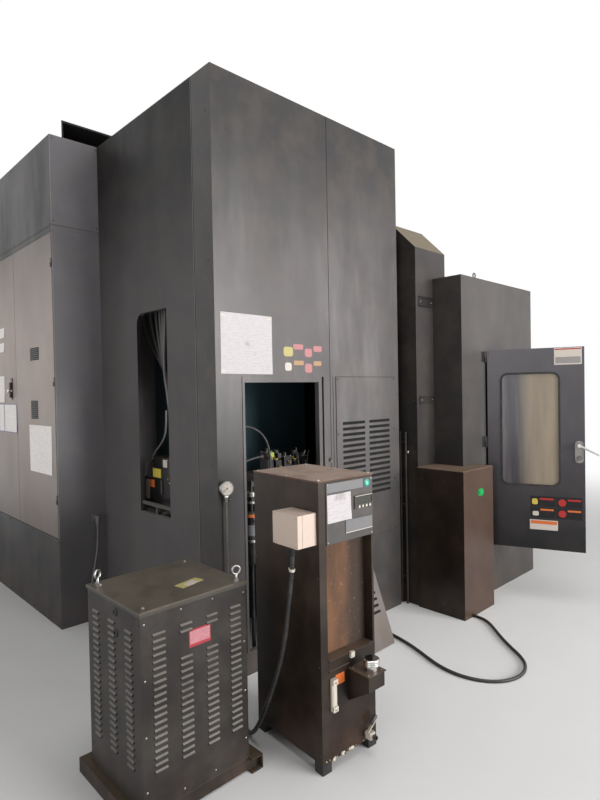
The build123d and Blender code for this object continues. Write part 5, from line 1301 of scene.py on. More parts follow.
@dataclass
class ServiceBay(SubAssembly):
    """What stands behind the two openings: valve block, vessel, hoses, terminal boxes and gauge."""

    gauge: Point = (0.038, -0.005, 1.076)
    gauge_turn: float = -7.0
    gauge_radius: float = 0.040
    drawn_radius: float = 0.045
    tube_y: float = -0.021
    tube_foot: float = 0.26
    tube_bend: float = 0.018
    valves: tuple[Point, ...] = (
        (0.475, 0.058, 1.215), (0.555, 0.046, 1.154), (0.623, 0.066, 1.176),
        (0.711, 0.050, 1.140), (0.783, 0.054, 1.164))
    valve_front: float = 0.160
    valve_middle: float = 0.191
    row_front: float = 0.120
    vessel: tuple[float, float] = (.335, .140)
    box_face: float = 0.090

    def dress(self) -> None:
        """Give the bay's nodes their finishes."""
        dress(CASTING, "column_casting")
        dress(VALVE_BLOCK, "valve_manifold", edge=0.0012)
        dress(BLACK_PLASTIC, "pressure_tank")
        dress(HOSE, "service_hoses")
        dress(HARNESS, "side_cables")
        dress(BOX_PAINT, "pump_motor", edge=0.002)

    def gauge_body(self) -> bpy.types.Object:
        """Hang the gauge on its fitting and run its tube down the front and back through it."""
        shape = Shape()
        x, _, z = self.gauge
        r, y, neck = self.gauge_radius, self.tube_y, z - self.gauge_radius
        turn = math.radians(self.gauge_turn)
        shape.turned_at(self.gauge, Vector((math.sin(turn), -math.cos(turn), 0)), [
            (0, 0), (r - .012, 0), (r - .003, .003), (r - .002, .006), (r - .002, .023), (r, .025),
            (r, .0295), (r - .001, .031), (r - .0035, .031), (r - .0035, .0265), (0, .0265)],
            STEEL, 48)
        shape.turned_at((x, y, neck - .052), Facing.UP, [
            (0, 0), (.006, 0), (.0075, .002), (.0075, .014), (.005, .016), (.005, .020),
            (.0095, .021), (.0095, .036), (.006, .038), (.006, .041), (0, .041)], TUBE_METAL, 16)
        shape.turned_at((x, y, neck - .014), Facing.UP, [
            (0, 0), (.0095, 0), (.0105, .0012), (.0105, .0128), (.0095, .014), (.0055, .0145),
            (.0055, .018), (0, .018)], STEEL, 6)
        shape.turned_at((x, y, neck - .024), Facing.RIGHT, [
            (0, 0), (.005, 0), (.005, .014), (.008, .015), (.008, .021), (0, .022)], DARK_STEEL, 12)
        shape.aim((0, 0, 0))
        shape.box((x - .008, y - .001, neck - .030), (x + .008, .0005, neck - .018), TUBE_METAL)
        foot, bend = self.tube_foot, self.tube_bend
        path = [(x, y, neck - .05), (x, y, neck - .3), (x, y, foot + bend)]
        for angle in (math.radians(15 * step) for step in range(1, 7)):
            path.append((x, y + bend * (1 - math.cos(angle)), foot + bend * (1 - math.sin(angle))))
        shape.tube(path + [(x, .0005, foot)], .0045, TUBE_METAL)
        piece = shape.build("front_gauge", self.body, "steel")
        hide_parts("pressure_gauge", "gauge_tube")
        return piece

    def dial(self) -> bpy.types.Object:
        """Make the gauge's dial: a cream face with ticks, figures and a needle."""
        scale = self.gauge_radius / self.drawn_radius
        shape = Shape(Matrix.Translation(self.gauge)
                      @ Matrix.Rotation(math.radians(self.gauge_turn), 4, "Z")
                      @ Matrix.Scale(scale, 4))
        face = -.0270 / scale
        first, sweep, ticks, figures, outer = -135, 270, 40, 4, .037
        shape.turned_at((0, face, 0), Facing.FRONT, [(.0405, -.0005), (.0405, .0006), (0, .0006)],
                        DIAL, 48)
        for step in range(ticks + 1):
            angle = math.radians(first + step * sweep / ticks)
            inner, half = (.030, .0007) if step % 5 == 0 else (.0335, .00035)
            shape.aim((inner * math.sin(angle), face - .0006, inner * math.cos(angle)),
                      Facing.FRONT, -math.degrees(angle))
            shape.box((-half, 0, 0), (half, outer - inner, .0003), BLACK_FILM_AND_PAINTED_SHADE, .0001)
        for step in range(figures + 1):
            angle = math.radians(first + step * sweep / figures)
            spot = (.0235 * math.sin(angle), face - .0006, .0235 * math.cos(angle))
            shape.lettering(str(step * 4), spot, Facing.FRONT, .0085, BLACK_FILM_AND_PAINTED_SHADE)
        shape.aim((0, face - .0012, 0), Facing.FRONT, 118)
        shape.box((-.0009, -.009, 0), (.0009, .031, .0006), DARK_STEEL, .0002)
        shape.turned([(.0045, -.0006), (.0045, .0012), (.003, .0018), (0, .0018)], DARK_STEEL)
        return shape.build("gauge_dial", self.body, "white_plastic")

    def fittings(self) -> bpy.types.Object:
        """Put connectors, screws, unions and tags on the valve block."""
        shape = Shape()
        front, middle, row = self.valve_front, self.valve_middle, self.row_front
        for x, width, top in self.valves:
            shape.screws([(side, y, top) for y in (.168, .214)
                          for side in (x + .008, x + width - .008)], Facing.UP, .0035, STEEL,
                         Drive.SOCKET)
            shape.turned_at((x + width / 2, front, top - .035), Facing.FRONT, [
                (.011, 0), (.011, .010), (.008, .012), (.008, .022)], BRASS, 6)
            shape.aim((x + .006, front, 1.084), Facing.FRONT)
            shape.plate(width - .012, .018, .0006, FILM_SILVER, .002)
        for left, width, top in (self.valves[1], self.valves[3]):
            x = left + width / 2
            shape.aim((x - .0155, middle - .0395, top + .016))
            shape.box((0, 0, 0), (.031, .024, .034), BLACK_PLASTIC, .003)
            shape.turned_at((x, middle, top + .010), Facing.UP, [
                (.0193, 0), (.0196, .001), (.0196, .017), (.0193, .018)], FILM_YELLOW, 36)
            shape.screw((x, middle - .028, top + .050), Facing.UP, .0035, STEEL)
        shape.aim((.499, front, 1.184), Facing.FRONT)
        shape.plate(.032, .029, .010, CAP_GREEN, .004)
        shape.aim((0, 0, 0))
        shape.tube([(.771, .190, 1.138), (.762, .190, 1.180), (.752, .188, 1.222)], .0042, STEEL)
        shape.tube([(.815, .190, 1.150), (.826, .190, 1.172), (.838, .188, 1.194)], .0036, STEEL)
        for index in range(6):
            x = 0.435 + index * 0.072
            shape.screw((x, row, 1.062), Facing.FRONT, .0055, DARK_STEEL, Drive.SOCKET)
            shape.aim((x, row, 0.985), Facing.FRONT)
            shape.turned([(.017, 0), (.017, .012), (.0145, .014)], ZINC, 6)
            shape.turned([(.0115, .014), (.0115, .030), (.0095, .032)], ZINC, 20)
        shape.aim((0.412, row, 0.880), Facing.FRONT)
        shape.plate(.12, .05, .001, FILM_SILVER, .003)
        return shape.build("valve_fittings", self.body, "steel")

    def unions(self) -> bpy.types.Object:
        """Put a union nut on each end of the hoses and bands on the vessel."""
        shape = Shape()
        for point, facing in (
                ((.030, .140, 1.340), Facing.RIGHT), ((.491, .140, 1.080), Facing.UP),
                ((.030, .191, 1.140), Facing.RIGHT), ((.475, .191, 1.188), Facing.LEFT)):
            shape.aim(point, facing)
            shape.turned([(.0135, 0), (.0135, .011), (.0115, .013)], ZINC, 6)
            shape.turned([(.0098, .013), (.0098, .034), (.0078, .036)], DARK_STEEL, 20)
        for z, high, radius, finish in (
                (.804, .020, .0376, BLACK_PLASTIC), (.826, .040, .0372, FILM_ORANGE),
                (.930, .012, .0368, ZINC), (.972, .026, .0372, ZINC), (.700, .014, .0372, ZINC)):
            shape.turned_at((*self.vessel, z), Facing.UP, [
                (radius - .001, 0), (radius, .001), (radius, high - .001), (radius - .001, high)],
                finish, 40)
        shape.turned_at((*self.vessel, .740), Facing.UP, [
            (.0362, 0), (.0366, .0005), (.0366, .07), (.0362, .0705)], FILM_SILVER, 40)
        return shape.build("hose_unions", self.body, "steel")

    def box_details(self) -> bpy.types.Object:
        """Put plates, screws, glands and the cable clips on and over the terminal boxes."""
        shape = Shape()
        x, step_x, step_y = self.box_face, .013, .0165
        shape.plates(Facing.LEFT, (
            ((x, .858, 1.044), .104, .058, .0008, FILM_YELLOW, .003),
            ((x, .962, .892), .058, .132, .0008, FILM_WHITE, .003),
            ((x, .900, .975), .060, .050, .0008, FILM_ORANGE, .003),
            ((x, .726, 1.118), .050, .048, .0008, FILM_WHITE, .003),
            ((x, .758, .940), .026, .092, .006, DARK_STEEL, .010)))
        shape.screws(grid(x, (.652, .976), (.862, 1.022)), Facing.LEFT, .005, STEEL)
        shape.screws(grid(x, (.671, .852), (1.046, 1.166)), Facing.LEFT, .004, STEEL)
        for index in range(6):
            shape.turned_at((.130 + step_x * index, .690 + step_y * index, 1.177), Facing.UP, [
                (.0155, 0), (.0155, .010), (.0125, .012), (.0105, .026)], BLACK_PLASTIC, 18)
        for index, spread in enumerate((0, .038, .080, .140, .223, .345)):
            spot = (.130 + step_x * index, .730 + step_y * index + spread, 2.196)
            shape.turned_at(spot, Facing.UP, [
                (.0105, -.007), (.0115, -.006), (.0115, .006), (.0105, .007)], IVORY_PLASTIC, 24)
        shape.turned_at((.105, .935, 1.034), Facing.UP, [(.011, 0), (.011, .012), (.008, .016)],
                        ZINC, 6)
        return shape.build("box_details", self.body)

    def build(self) -> list[bpy.types.Object]:
        """Build the bay's own pieces."""
        return [self.gauge_body(), self.dial(), self.fittings(), self.unions(), self.box_details()]


@dataclass
class Cabinet(SubAssembly):
    """Electrical cabinet with its leaves, its papers, and the housings and hood behind it."""

    leaf_x: float = -0.327
    slat_pitch: float = 0.014
    hood_x: tuple[float, float] = (-0.160, 1.090)
    hood_y: tuple[float, float] = (1.600, 2.600)
    hood_z: tuple[float, float] = (3.334, 3.553)
    hood_narrow: float = 0.400
    hood_wall: float = 0.012
    hood_skin: float = 0.0015

    def dress(self) -> None:
        """Give the cabinet's and the housings' nodes their finishes."""
        dress(CABINET_FRONT, "cabinet_plinth", "cabinet_top", "cabinet_walls", edge=0.002)
        dress(LEAF, "cabinet_door_near", "cabinet_door_far")
        dress(ZINC, "cabinet_back")
        dress(DARK_STEEL, "cabinet_hinges")
        dress(HANDLE_PLASTIC, "cabinet_handle")
        dress(GREY_PLASTIC, "cabinet_gland")
        dress(HOUSING_PAINT, "rear_housing", "low_housing")

    def papers(self, name: str, body: str, rows: tuple[Field, ...]) -> bpy.types.Object:
        """Stick papers on a leaf.

        Args:
            name: The piece's name.
            body: The leaf's body.
            rows: Far edge, bottom, width, height and finish of each paper.

        Returns:
            The piece.
        """
        shape = Shape()
        for far, bottom, width, height, finish in rows:
            shape.aim((self.leaf_x, far, bottom), Facing.LEFT, spin=0.3)
            shape.sheet(width, height, finish, 0.0025)
        return shape.build(name, body)

    def edge_lines(self) -> bpy.types.Object:
        """Rule the coloured lines along the edges of the lower papers."""
        shape, x = Shape(), self.leaf_x
        for y, z, wide, high in ((2.200, 1.5205, .580, .004), (2.200, 1.298, .580, .004),
                                 (2.504, 1.298, .006, .226), (2.198, 1.298, .004, .226)):
            shape.box((x - .0042, y, z), (x - .0030, y + wide, z + high), VIOLET_LINE, .0003)
        return shape.build("paper_edge_lines", "cabinet_leaf_far")

    def slats(self) -> bpy.types.Object:
        """Set the slats of the near leaf's two grilles before a dark ground of painted shadow."""
        shape, pitch = Shape(), self.slat_pitch
        for y, bottom, width, rows in ((1.684, 1.845, .180, 7), (1.727, 1.421, .145, 10)):
            shape.box((-.3215, y, bottom), (-.3200, y + width, bottom + rows * pitch - .008),
                      PAINTED_SHADOW_BLACK, .0003)
            for row in range(rows - 1):
                z = bottom + row * pitch + .006
                shape.box((-.3285, y, z), (-.3270, y + width, z + .008), BLACK_PLASTIC, .0005)
        return shape.build("leaf_grille_slats", "cabinet_leaf_near", "black_plastic")

    def painted_corner_highlight(self) -> bpy.types.Object:
        """Paint a highlight down the near corner of the cabinet, over the leaves' whole height."""
        shape = Shape()
        for low, high in ((2.700, 3.331), (0.620, 2.680)):
            shape.box((-0.3272, 1.3846, low), (-0.3250, 1.3858, high), PAINTED_EDGE_HIGHLIGHT, 0.0002)
        return shape.build("cabinet_corner_painted_highlight", self.body)

    def knob(self) -> bpy.types.Object:
        """Put the knob on the far leaf."""
        shape = Shape()
        shape.turned_at((-0.333, 2.298, 1.628), Facing.LEFT, [
            (.016, 0), (.016, .004), (.011, .006), (.011, .020), (.013, .023), (.012, .029),
            (0, .030)], CHROME)
        return shape.build("leaf_knob", "cabinet_leaf_far", "chrome")

    def screws(self) -> bpy.types.Object:
        """Put the screws of the base, the top box, the cabinet's end and the hood."""
        shape, x = Shape(), self.leaf_x
        shape.screws(grid(x, (1.40, 1.92, 2.45, 2.965), (0.03, 0.595)), Facing.LEFT, 0.0055,
                     DARK_STEEL, Drive.HEX)
        shape.screws(grid(x, (1.40, 2.18, 2.965), (2.75, 3.315)), Facing.LEFT, 0.005, DARK_STEEL)
        shape.screws(grid((-0.312, -0.016), 1.385, (0.03, 0.59, 2.76, 3.31)), Facing.FRONT, 0.005,
                     DARK_STEEL)
        shape.screws(grid((-0.14, 0.24, 0.68, 1.07), 1.6, 3.36), Facing.FRONT, 0.005, DARK_STEEL)
        return shape.build("housing_screws", self.body, "steel")

    def hood(self) -> bpy.types.Object:
        """Build the roof's hood. It narrows to the back, because no left wall is seen. Its inside is
        lined with a thin skin of painted shadow.
        """
        shape = Shape()
        shape.local = Matrix(((0, 1, 0, 0), (0, 0, 1, 0), (1, 0, 0, 0), (0, 0, 0, 1)))
        (left, right), (front, back), (low, high) = self.hood_x, self.hood_y, self.hood_z
        narrow, wall, skin = self.hood_narrow, self.hood_wall, self.hood_skin
        under = high - wall
        plan = ((left, front), (right, front), (right - narrow, back), (left + narrow, back))
        shape.prism(plan, under, high, HOOD_PAINT)
        inside = ((left + wall, front), (right - wall, front), (right - wall - narrow, back - wall),
                  (left + wall + narrow, back - wall))
        # The inside of the hood is lined with a thin skin of painted shadow.
        shape.prism(inside, under - skin, under - 0.0002, PAINTED_SHADOW_BLACK)
        deep = back - wall
        for edge, lean, inward in ((left, narrow, 1), (right, -narrow, -1)):
            for start, end, finish in ((0, wall - skin, HOOD_PAINT),
                                       (wall - skin, wall, PAINTED_SHADOW_BLACK)):
                near, far = edge + inward * start, edge + inward * end
                outline = ((near, front), (far, front), (far + lean, deep), (near + lean, deep))
                shape.prism(outline, low, under - skin, finish)
        start, end = left + narrow - 0.004, right - narrow + 0.004
        for near, far, finish in ((deep, back, HOOD_PAINT), (deep - skin, deep, PAINTED_SHADOW_BLACK)):
            outline = ((start, near), (end, near), (end, far), (start, far))
            shape.prism(outline, low, under - skin, finish)
        hood = shape.build("narrowing_roof_hood", self.body, "charcoal_paint")
        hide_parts("roof_hood")
        return hood

    def build(self) -> list[bpy.types.Object]:
        """Build the cabinet's own pieces.

        Returns:
            The new pieces.
        """
        near = self.papers("near_leaf_paper", "cabinet_leaf_near", (
            (1.918, 1.035, 0.440, 0.340, LEAF_PAPER),))
        far = self.papers("far_leaf_papers", "cabinet_leaf_far", (
            (2.600, 2.062, 0.140, 0.078, LEAF_PAPER), (2.610, 1.948, 0.140, 0.072, LEAF_PAPER),
            (2.760, 1.535, 0.270, 0.215, LEAF_PAPER), (2.780, 1.300, 0.580, 0.222, LEAF_PAPER)))
        return [near, far, self.edge_lines(), self.slats(), self.painted_corner_highlight(), self.knob(),
                self.screws(), self.hood()]


@dataclass
class Tower(SubAssembly):
    """Tower with its straps and pipes, and the low box in front of it."""

    outline: tuple[tuple[float, float], ...] = (
        (-0.121, 0.0), (1.385, 0.0), (1.385, 2.820), (0.084, 2.820), (-0.121, 2.615))
    left: float = 1.679
    right: float = 2.072
    strap_face: float = -0.125
    soft: float = 0.003

    def dress(self) -> None:
        """Give the tower's and the low box's nodes their finishes."""
        dress(STRAP_PAINT, "tower_straps")
        dress(PIPE_PAINT, "tower_pipes")
        dress(LOW_BOX_PAINT, "low_box")
        dress(LAMP, "low_box_lamp")

    def screws(self) -> bpy.types.Object:
        """Put the screws of the straps, the low box and the tower."""
        shape = Shape()
        for level, x in product((2.225, 1.505), (1.735, 1.872)):
            shape.screw((x, self.strap_face, level), Facing.FRONT, 0.006, STEEL, Drive.HEX)
        shape.screws(grid(1.665, (-0.335, -0.16), (0.08, 0.94)), Facing.LEFT, 0.0045, DARK_STEEL)
        shape.screws(grid((1.683, 2.057), -0.494, (0.06, 0.96)), Facing.FRONT, 0.0045, DARK_STEEL)
        shape.screws(grid(self.left, (-0.09, 1.3), (1.5, 2.4)), Facing.LEFT, 0.005, DARK_STEEL)
        return shape.build("tower_screws", self.body, "steel")

    def case(self) -> bpy.types.Object:
        """Build the tower with its low ridge."""
        shape = Shape()
        shape.prism(self.outline, self.left, self.right, TOWER_PAINT)
        tower = shape.build("low_ridged_tower", self.body, "charcoal_paint")
        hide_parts("tower")
        soft = tower.modifiers.new("soft_edges", "BEVEL")
        soft.width, soft.segments = self.soft, BEVEL_SEGMENTS
        return tower

    def valve_knob(self) -> bpy.types.Object:
        """Put the knob of the pipes' valve."""
        shape = Shape()
        shape.turned_at((1.662, -0.0592, 1.123), Facing.FRONT, [
            (.0115, -.020), (.0145, -.018), (.0150, -.004), (.0130, 0), (.004, .0015), (0, .0015)],
            CHROME, 10)
        return shape.build("pipe_valve_knob", self.body, "chrome")

    def lens(self) -> bpy.types.Object:
        """Put the rounded face on the low box's lamp."""
        shape = Shape()
        shape.aim((1.871, -0.504, 0.837), Facing.FRONT)
        shape.plate(0.044, 0.028, 0.0006, LAMP, 0.007)
        return shape.build("lamp_lens_face", self.body, "green_lens")

    def build(self) -> list[bpy.types.Object]:
        """Build the tower's own pieces."""
        return [self.screws(), self.case(), self.valve_knob(), self.lens()]


@dataclass
class Magazine(SubAssembly):
    """Tool magazine cabinet with its opened door."""

    hinge: Point = (2.222, -0.373, 0.0)
    opened: float = 68.6
    leaf: str = "magazine_leaf"
    face: float = -0.011
    lock: tuple[float, float] = (0.6295, -0.017)

    def place(self) -> Matrix:
        """Give the matrix from the opened door's own frame, X along the leaf, to the object's."""
        return Matrix.Translation(self.hinge) @ Matrix.Rotation(math.radians(-self.opened), 4, "Z")

    def dress(self) -> None:
        """Give the magazine's nodes their finishes."""
        dress(MAGAZINE_PAINT, "magazine_front", "magazine_sides", "magazine_back", "magazine_roof")
        dress(DARK_STEEL, "door_hinges")
        dress(DOOR_PAINT, "magazine_door")
        dress(RUBBER, "door_gasket")
        dress(WINDOW, "door_glass")
        dress(LOCK_METAL, "lock_plate")
        dress(CHROME, "door_lever")

    def labels(self) -> bpy.types.Object:
        """Stick the door's plain film plates."""
        shape = Shape(self.place())
        face, second = self.face, self.face - 0.0004
        colour_fields(shape, (0.301, face, 0.624), 0.348, 0.164, DOOR_FIELDS, BLACK_FILM_AND_PAINTED_SHADE)
        shape.plates(Facing.FRONT, (
            ((.472, face, 1.743), .179, .121, 0.0005, FILM_WHITE, 0.002),
            ((.476, second, 1.850), .171, .008, 0.0005, FILM_RED, 0.002),
            ((.480, second, 1.752), .163, .046, 0.0005, BAND_GREY, 0.002),
            ((.299, face, .538), .188, .072, 0.0005, FILM_WHITE, 0.002),
            ((.305, second, .580), .176, .024, 0.0005, FILM_ORANGE, 0.002)))
        return shape.build("door_film_plates", self.leaf)

    def screws(self) -> bpy.types.Object:
        """Put the screws of the lock plate and of the hinge straps."""
        shape = Shape(self.place())
        shape.screws(grid(*self.lock, (1.046, 1.188)), Facing.FRONT, 0.0032, STEEL)
        shape.turned_at((*self.lock, 1.072), Facing.FRONT, [
            (.0115, 0), (.0150, 0), (.0150, .0007), (.0115, .0007)], BLACK_FILM_AND_PAINTED_SHADE, 36)
        for z in (1.840, 1.195, 0.550):
            shape.screws(grid(0.022, self.face, (z - 0.012, z + 0.012)), Facing.FRONT, 0.0042,
                         DARK_STEEL)
        return shape.build("door_screws", self.leaf, "steel")

    def cabinet_screws(self) -> bpy.types.Object:
        """Put the screws of the front wall and of the hinges' fixed straps."""
        shape = Shape()
        shape.screws(grid((1.925, 3.03), -0.357, (0.06, 0.85, 1.65, 2.38)), Facing.FRONT, 0.005,
                     DARK_STEEL)
        for z in (1.80, 1.155, 0.51):
            shape.screws(grid(2.199, -0.361, (z - 0.010, z + 0.045)), Facing.FRONT, 0.004,
                         DARK_STEEL)
        return shape.build("magazine_screws", self.body, "steel")

    def build(self) -> list[bpy.types.Object]:
        """Build the magazine's own pieces."""
        return [self.cabinet_screws(), self.labels(), self.screws()]


@dataclass
class OilCooler(SubAssembly):
    """Oil cooler with its control panel, terminal box, filler, level gauge and drain."""

    origin: Point = (-0.115, -0.862, 0.0)
    turn: float = -3.5
    width: float = 0.325
    depth: float = 0.450
    top: float = 1.222
    panel_face: float = -0.004
    inset: float = 0.012
    lid_inset: float = 0.014
    case_rows: tuple[float, ...] = (0.08, 0.45, 0.82, 1.19)

    def place(self) -> Matrix:
        """Give the matrix from the cooler's own frame to the object's."""
        return Matrix.Translation(self.origin) @ Matrix.Rotation(math.radians(self.turn), 4, "Z")

    def dress(self) -> None:
        """Give the cooler's nodes their finishes."""
        dress(COOLER_PAINT, "cooler_body", "cooler_filler", edge=0.0015)
        dress(COOLER_TOP, "cooler_lid", edge=0.0015)
        dress(RUBBER, "cooler_feet")
        dress(SCREEN, "cooler_screen")
        dress(GREY_PANEL, "cooler_control")
        dress(CHROME, "breather_cap")
        dress(IVORY_PLASTIC, "cooler_fittings")
        dress(BEIGE_PLASTIC, "terminal_box")

    def panel(self) -> bpy.types.Object:
        """Finish the control panel: display, buttons, bare badge, strip and plate."""
        shape = Shape(self.place())
        shape.plates(Facing.FRONT, (
            ((0.2085, -0.0075, 1.0985), 0.101, 0.0315, 0.0006, DISPLAY, 0),
            *(((0.2210 + index * 0.022, -0.015, 1.083), 0.010, 0.010, 0.0008, IVORY_PLASTIC, 0.002)
              for index in range(4)),
            ((0.206, -0.011, 1.1322), 0.106, 0.0026, 0.0004, FILM_WHITE, 0)))
        shape.aim((0.286, self.panel_face, 1.183), Facing.FRONT)
        shape.turned([(.0165, 0), (.0165, .0012), (.0158, .0016)], FILM_TEAL, 40)
        shape.turned([(.0085, .0014), (.0085, .0020), (0, .0022)], FILM_MINT, 40)
        shape.plates(Facing.FRONT, (
            ((0.045, self.panel_face, 1.167), 0.215, 0.038, 0.0006, PALE_STRIP, 0.002),
            ((0.150, -0.006, 0.983), 0.164, 0.055, 0.0005, FILM_SILVER, 0.002),
            *(((0.155 + index * 0.0058, -0.0066, 0.990), 0.0014, 0.044, 0.0003, BAND_GREY, 0)
              for index in range(27)),
            ((0.150, -0.0066, 0.9835), 0.164, 0.003, 0.0004, FILM_WHITE, 0)))
        return shape.build("cooler_panel_details", self.body)

    def paper(self) -> bpy.types.Object:
        """Stick the white paper over the panel's left half."""
        shape = Shape(self.place())
        shape.aim((0.045, -0.0042, 1.040), Facing.FRONT, spin=0.6)
        shape.sheet(0.139, 0.118, PAPER, 0.004)
        return shape.build("cooler_paper", self.body)

    def screws(self) -> bpy.types.Object:
        """Put the screws of the lid, the panel, the sides and the terminal box."""
        shape = Shape(self.place())
        w, d, rows = self.width, self.depth, self.case_rows
        across = (self.lid_inset, w - self.lid_inset)
        along = (self.inset, d - self.inset)
        shape.screws(grid(across, (self.lid_inset, d / 2, d - self.lid_inset), self.top),
                     Facing.UP, 0.005, STEEL, Drive.HEX)
        shape.screws(grid(0, along, rows), Facing.LEFT, 0.004, DARK_STEEL)
        shape.screws(grid(w, along, rows), Facing.RIGHT, 0.004, DARK_STEEL)
        shape.screws(grid(across, d, rows), Facing.BACK, 0.004, DARK_STEEL)
        shape.screws(grid((0.048, 0.312), self.panel_face, (0.960, 1.200)), Facing.FRONT, 0.0035,
                     STEEL)
        shape.screws(grid(-0.100, (0.026, 0.167), (0.968, 1.081)), Facing.LEFT, 0.0035,
                     IVORY_PLASTIC)
        shape.screws([(x, y, 0.405) for y in (-0.020, -0.110) for x in (0.165, 0.245)],
                     Facing.UP, 0.0035, STEEL)
        return shape.build("cooler_screws", self.body, "steel")

    def front_fittings(self) -> bpy.types.Object:
        """Finish the level gauge, the film plate, the drain and the breather cap."""
        shape = Shape(self.place())
        shape.aim((0.0555, -0.012, 0.279), Facing.FRONT)
        shape.plate(0.015, 0.086, 0.002, FILM_WHITE, 0.004)
        for z in (0.265, 0.379):
            shape.screw((0.063, -0.020, z), Facing.FRONT, 0.0060, ZINC)
        shape.aim((0.080, 0, 0.352), Facing.FRONT)
        shape.plate(0.052, 0.044, 0.0006, FILM_ORANGE, 0.002)
        shape.turned_at((0.262, -0.046, 0.078), Facing.FRONT, [
            (.0125, 0), (.0125, .006), (.0105, .008), (.0105, .014), (.0075, .014), (.0075, .002)],
            DARK_STEEL, 6)
        rise = math.radians(38)
        lever = Vector((math.cos(rise), 0, math.sin(rise)))
        shape.turned_at((0.249, -0.023, 0.110), lever, [
            (.0085, .022), (.0095, .026), (.0095, .060), (.007, .066), (0, .067)],
            BLACK_PLASTIC, 18)
        for index in range(3):
            shape.turned_at((0.212, -0.084, 0.432 + index * 0.008), Facing.UP, [
                (.0341, 0), (.0346, .001), (.0346, .003), (.0341, .004)], CHROME, 48)
        return shape.build("cooler_front_fittings", self.body)

    def crumbs(self) -> bpy.types.Object:
        """Leave dried sealant and dirt along the case's lower front edge."""
        shape = Shape(self.place())
        chance = random.Random(12)
        for _ in range(26):
            x = chance.uniform(0.015, 0.31)
            size = chance.uniform(0.003, 0.008)
            shape.aim((x, -0.0005, 0.046 + chance.uniform(0, 0.008)),
                      Vector((0, -1, chance.uniform(-0.3, 0.3))))
            finish = chance.choice((IVORY_PLASTIC, TAN_SEALANT, COOLER_TOP))
            shape.turned([(size, -0.001), (size * 0.92, size * 0.35), (size * 0.5, size * 0.6),
                          (0, size * 0.66)], finish, 9)
        return shape.build("cooler_crumbs", self.body)

    def build(self) -> list[bpy.types.Object]:
        """Build the cooler's own pieces."""
        return [self.panel(), self.paper(), self.screws(), self.front_fittings(), self.crumbs()]


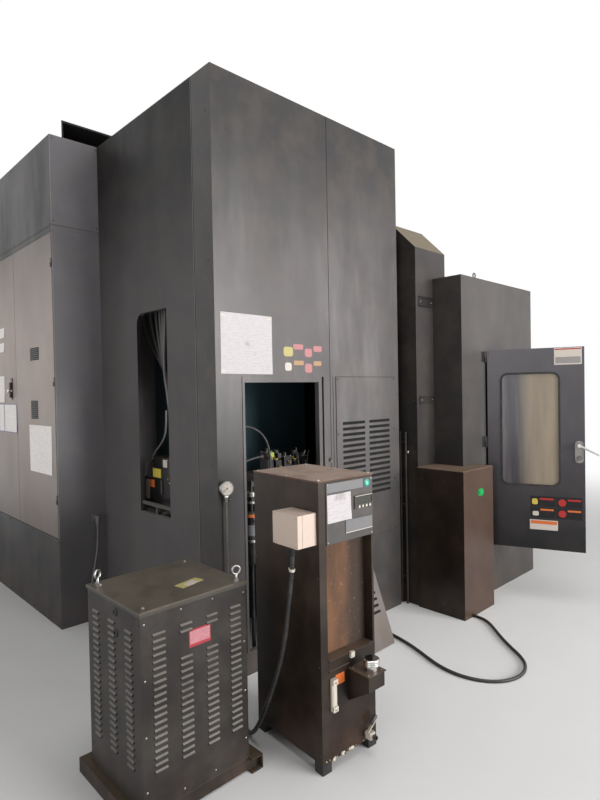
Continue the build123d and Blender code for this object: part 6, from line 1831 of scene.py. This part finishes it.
@dataclass
class Transformer(SubAssembly):
    """Louvred transformer on its skid."""

    corner: Point = (-0.785, -0.615, 0.0)
    width: float = 0.480
    depth: float = 0.450
    top: float = 0.804
    inset: float = 0.014
    rows: tuple[float, ...] = (0.146, 0.347, 0.554, 0.760)
    screw: float = 0.0042
    eye_bend: float = 0.017
    eye_wire: float = 0.0045
    eye_shank: float = 0.022

    def dress(self) -> None:
        """Give the transformer's nodes their finishes."""
        dress(TRANSFORMER_PAINT, "transformer_body")
        dress(TRANSFORMER_TOP, "transformer_lid", edge=0.001)
        dress(SKID_PAINT, "transformer_skid", edge=0.0015)

    def screws(self) -> bpy.types.Object:
        """Put the bright screws of the case and the lid."""
        shape = Shape()
        x, y, _ = self.corner
        right, back, rows, radius = x + self.width, y + self.depth, self.rows, self.screw
        across = (x + self.inset, right - self.inset)
        along = (y + self.inset, back - self.inset)
        middle = (x + 0.35 * self.width, x + 0.65 * self.width)
        for spots, facing, finish in (
                (grid(across, y, rows), Facing.FRONT, STEEL),
                (grid(middle, y, (0.085, 0.775)), Facing.FRONT, STEEL),
                (grid(x, along, rows), Facing.LEFT, DARK_STEEL),
                (grid(right, along, rows), Facing.RIGHT, STEEL),
                (grid(across, back, rows), Facing.BACK, STEEL)):
            shape.screws(spots, facing, radius, finish)
        shape.screws([(x + 0.035, y + 0.045, self.top), (right - 0.03, y + 0.03, self.top),
                      (x + 0.035, back - 0.045, self.top), (right - 0.03, back - 0.03, self.top)],
                     Facing.UP, 0.006, STEEL, Drive.HEX)
        return shape.build("transformer_screws", self.body, "steel")

    def eyes(self) -> bpy.types.Object:
        """Screw the two lifting eyes in at opposite corners of the lid, each turned its own way."""
        shape = Shape()
        x, y, _ = self.corner
        bend, shank, steps = self.eye_bend, self.eye_shank, 40
        spots = ((x + self.width - 0.0135, y + 0.046, Vector((-0.35, -0.94, 0))),
                 (x + 0.034, y + self.depth - 0.022, Vector((0.45, -0.89, 0))))
        for eye_x, eye_y, facing in spots:
            shape.turned_at((eye_x, eye_y, self.top), Facing.UP, [
                (.012, 0), (.012, .004), (.006, .0055), (.0055, shank + .002),
                (.0035, shank + .0045), (0, shank + .0048)], STEEL, 20)
            shape.aim((eye_x, eye_y, self.top + shank + bend), facing)
            turns = [math.radians(-78 + 336 * i / steps) for i in range(steps + 1)]
            ring = [(bend * math.cos(a), bend * math.sin(a), 0) for a in turns]
            shape.tube(ring, self.eye_wire, STEEL, 12)
        eyes = shape.build("corner_lifting_eyes", self.body, "steel")
        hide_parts("lifting_eyes")
        return eyes

    def plates(self) -> bpy.types.Object:
        """Put the bare rating plate, the worn film, the lid's pale front edge, worn and with a
        painted highlight, and the grommets.
        """
        shape = Shape()
        x, front, _ = self.corner
        shape.plates(Facing.FRONT, (
            ((-0.584, front, 0.614), 0.098, 0.068, 0.0012, LABEL_RED, 0.002),
            ((-0.581, front - 0.0012, 0.626), 0.092, 0.050, 0.0006, FILM_PINK, 0)))
        shape.aim((-0.535, -0.500, self.top), Facing.UP, 12)
        shape.plate(0.120, 0.052, 0.0008, FADED_YELLOW, 0.004)
        shape.aim((-0.500, -0.495, self.top + 0.0006), Facing.UP, 20)
        shape.plate(0.060, 0.034, 0.0006, FILM_WHITE, 0.003)
        shape.aim((0, 0, 0))
        # The lid's front edge: a pale strip, worn and with a painted highlight.
        shape.box((x + 0.002, front - 0.0002, self.top - 0.003),
                  (x + self.width - 0.06, front + 0.007, self.top + 0.0003), PAINTED_EDGE_HIGHLIGHT, 0.0002)
        for y, z in ((-0.415, 0.757), (-0.419, 0.677)):
            shape.turned_at((x, y, z), Facing.LEFT, [
                (.016, 0), (.016, .002), (.014, .004), (.009, .004), (.0085, .0005)], RUBBER)
        return shape.build("transformer_plates", self.body)

    def build(self) -> list[bpy.types.Object]:
        """Build the transformer's own pieces."""
        return [self.screws(), self.eyes(), self.plates()]


def main() -> None:
    """Build the studio and every sub-assembly in order, and report each piece."""
    logging.basicConfig(level=logging.INFO, format="%(message)s")
    log = logging.getLogger("scene")
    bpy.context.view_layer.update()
    Studio().build()
    for group in (Cables(), ColumnEnclosure(), ServiceBay(), Cabinet(), Tower(), Magazine(),
                  OilCooler(), Transformer()):
        group.dress()
        for piece in group.build():
            faces = len(piece.data.polygons) if piece.type == "MESH" else 0
            log.info("%s: %s, %d faces", type(group).__name__, piece.name, faces)


if __name__ == "__main__":
    main()
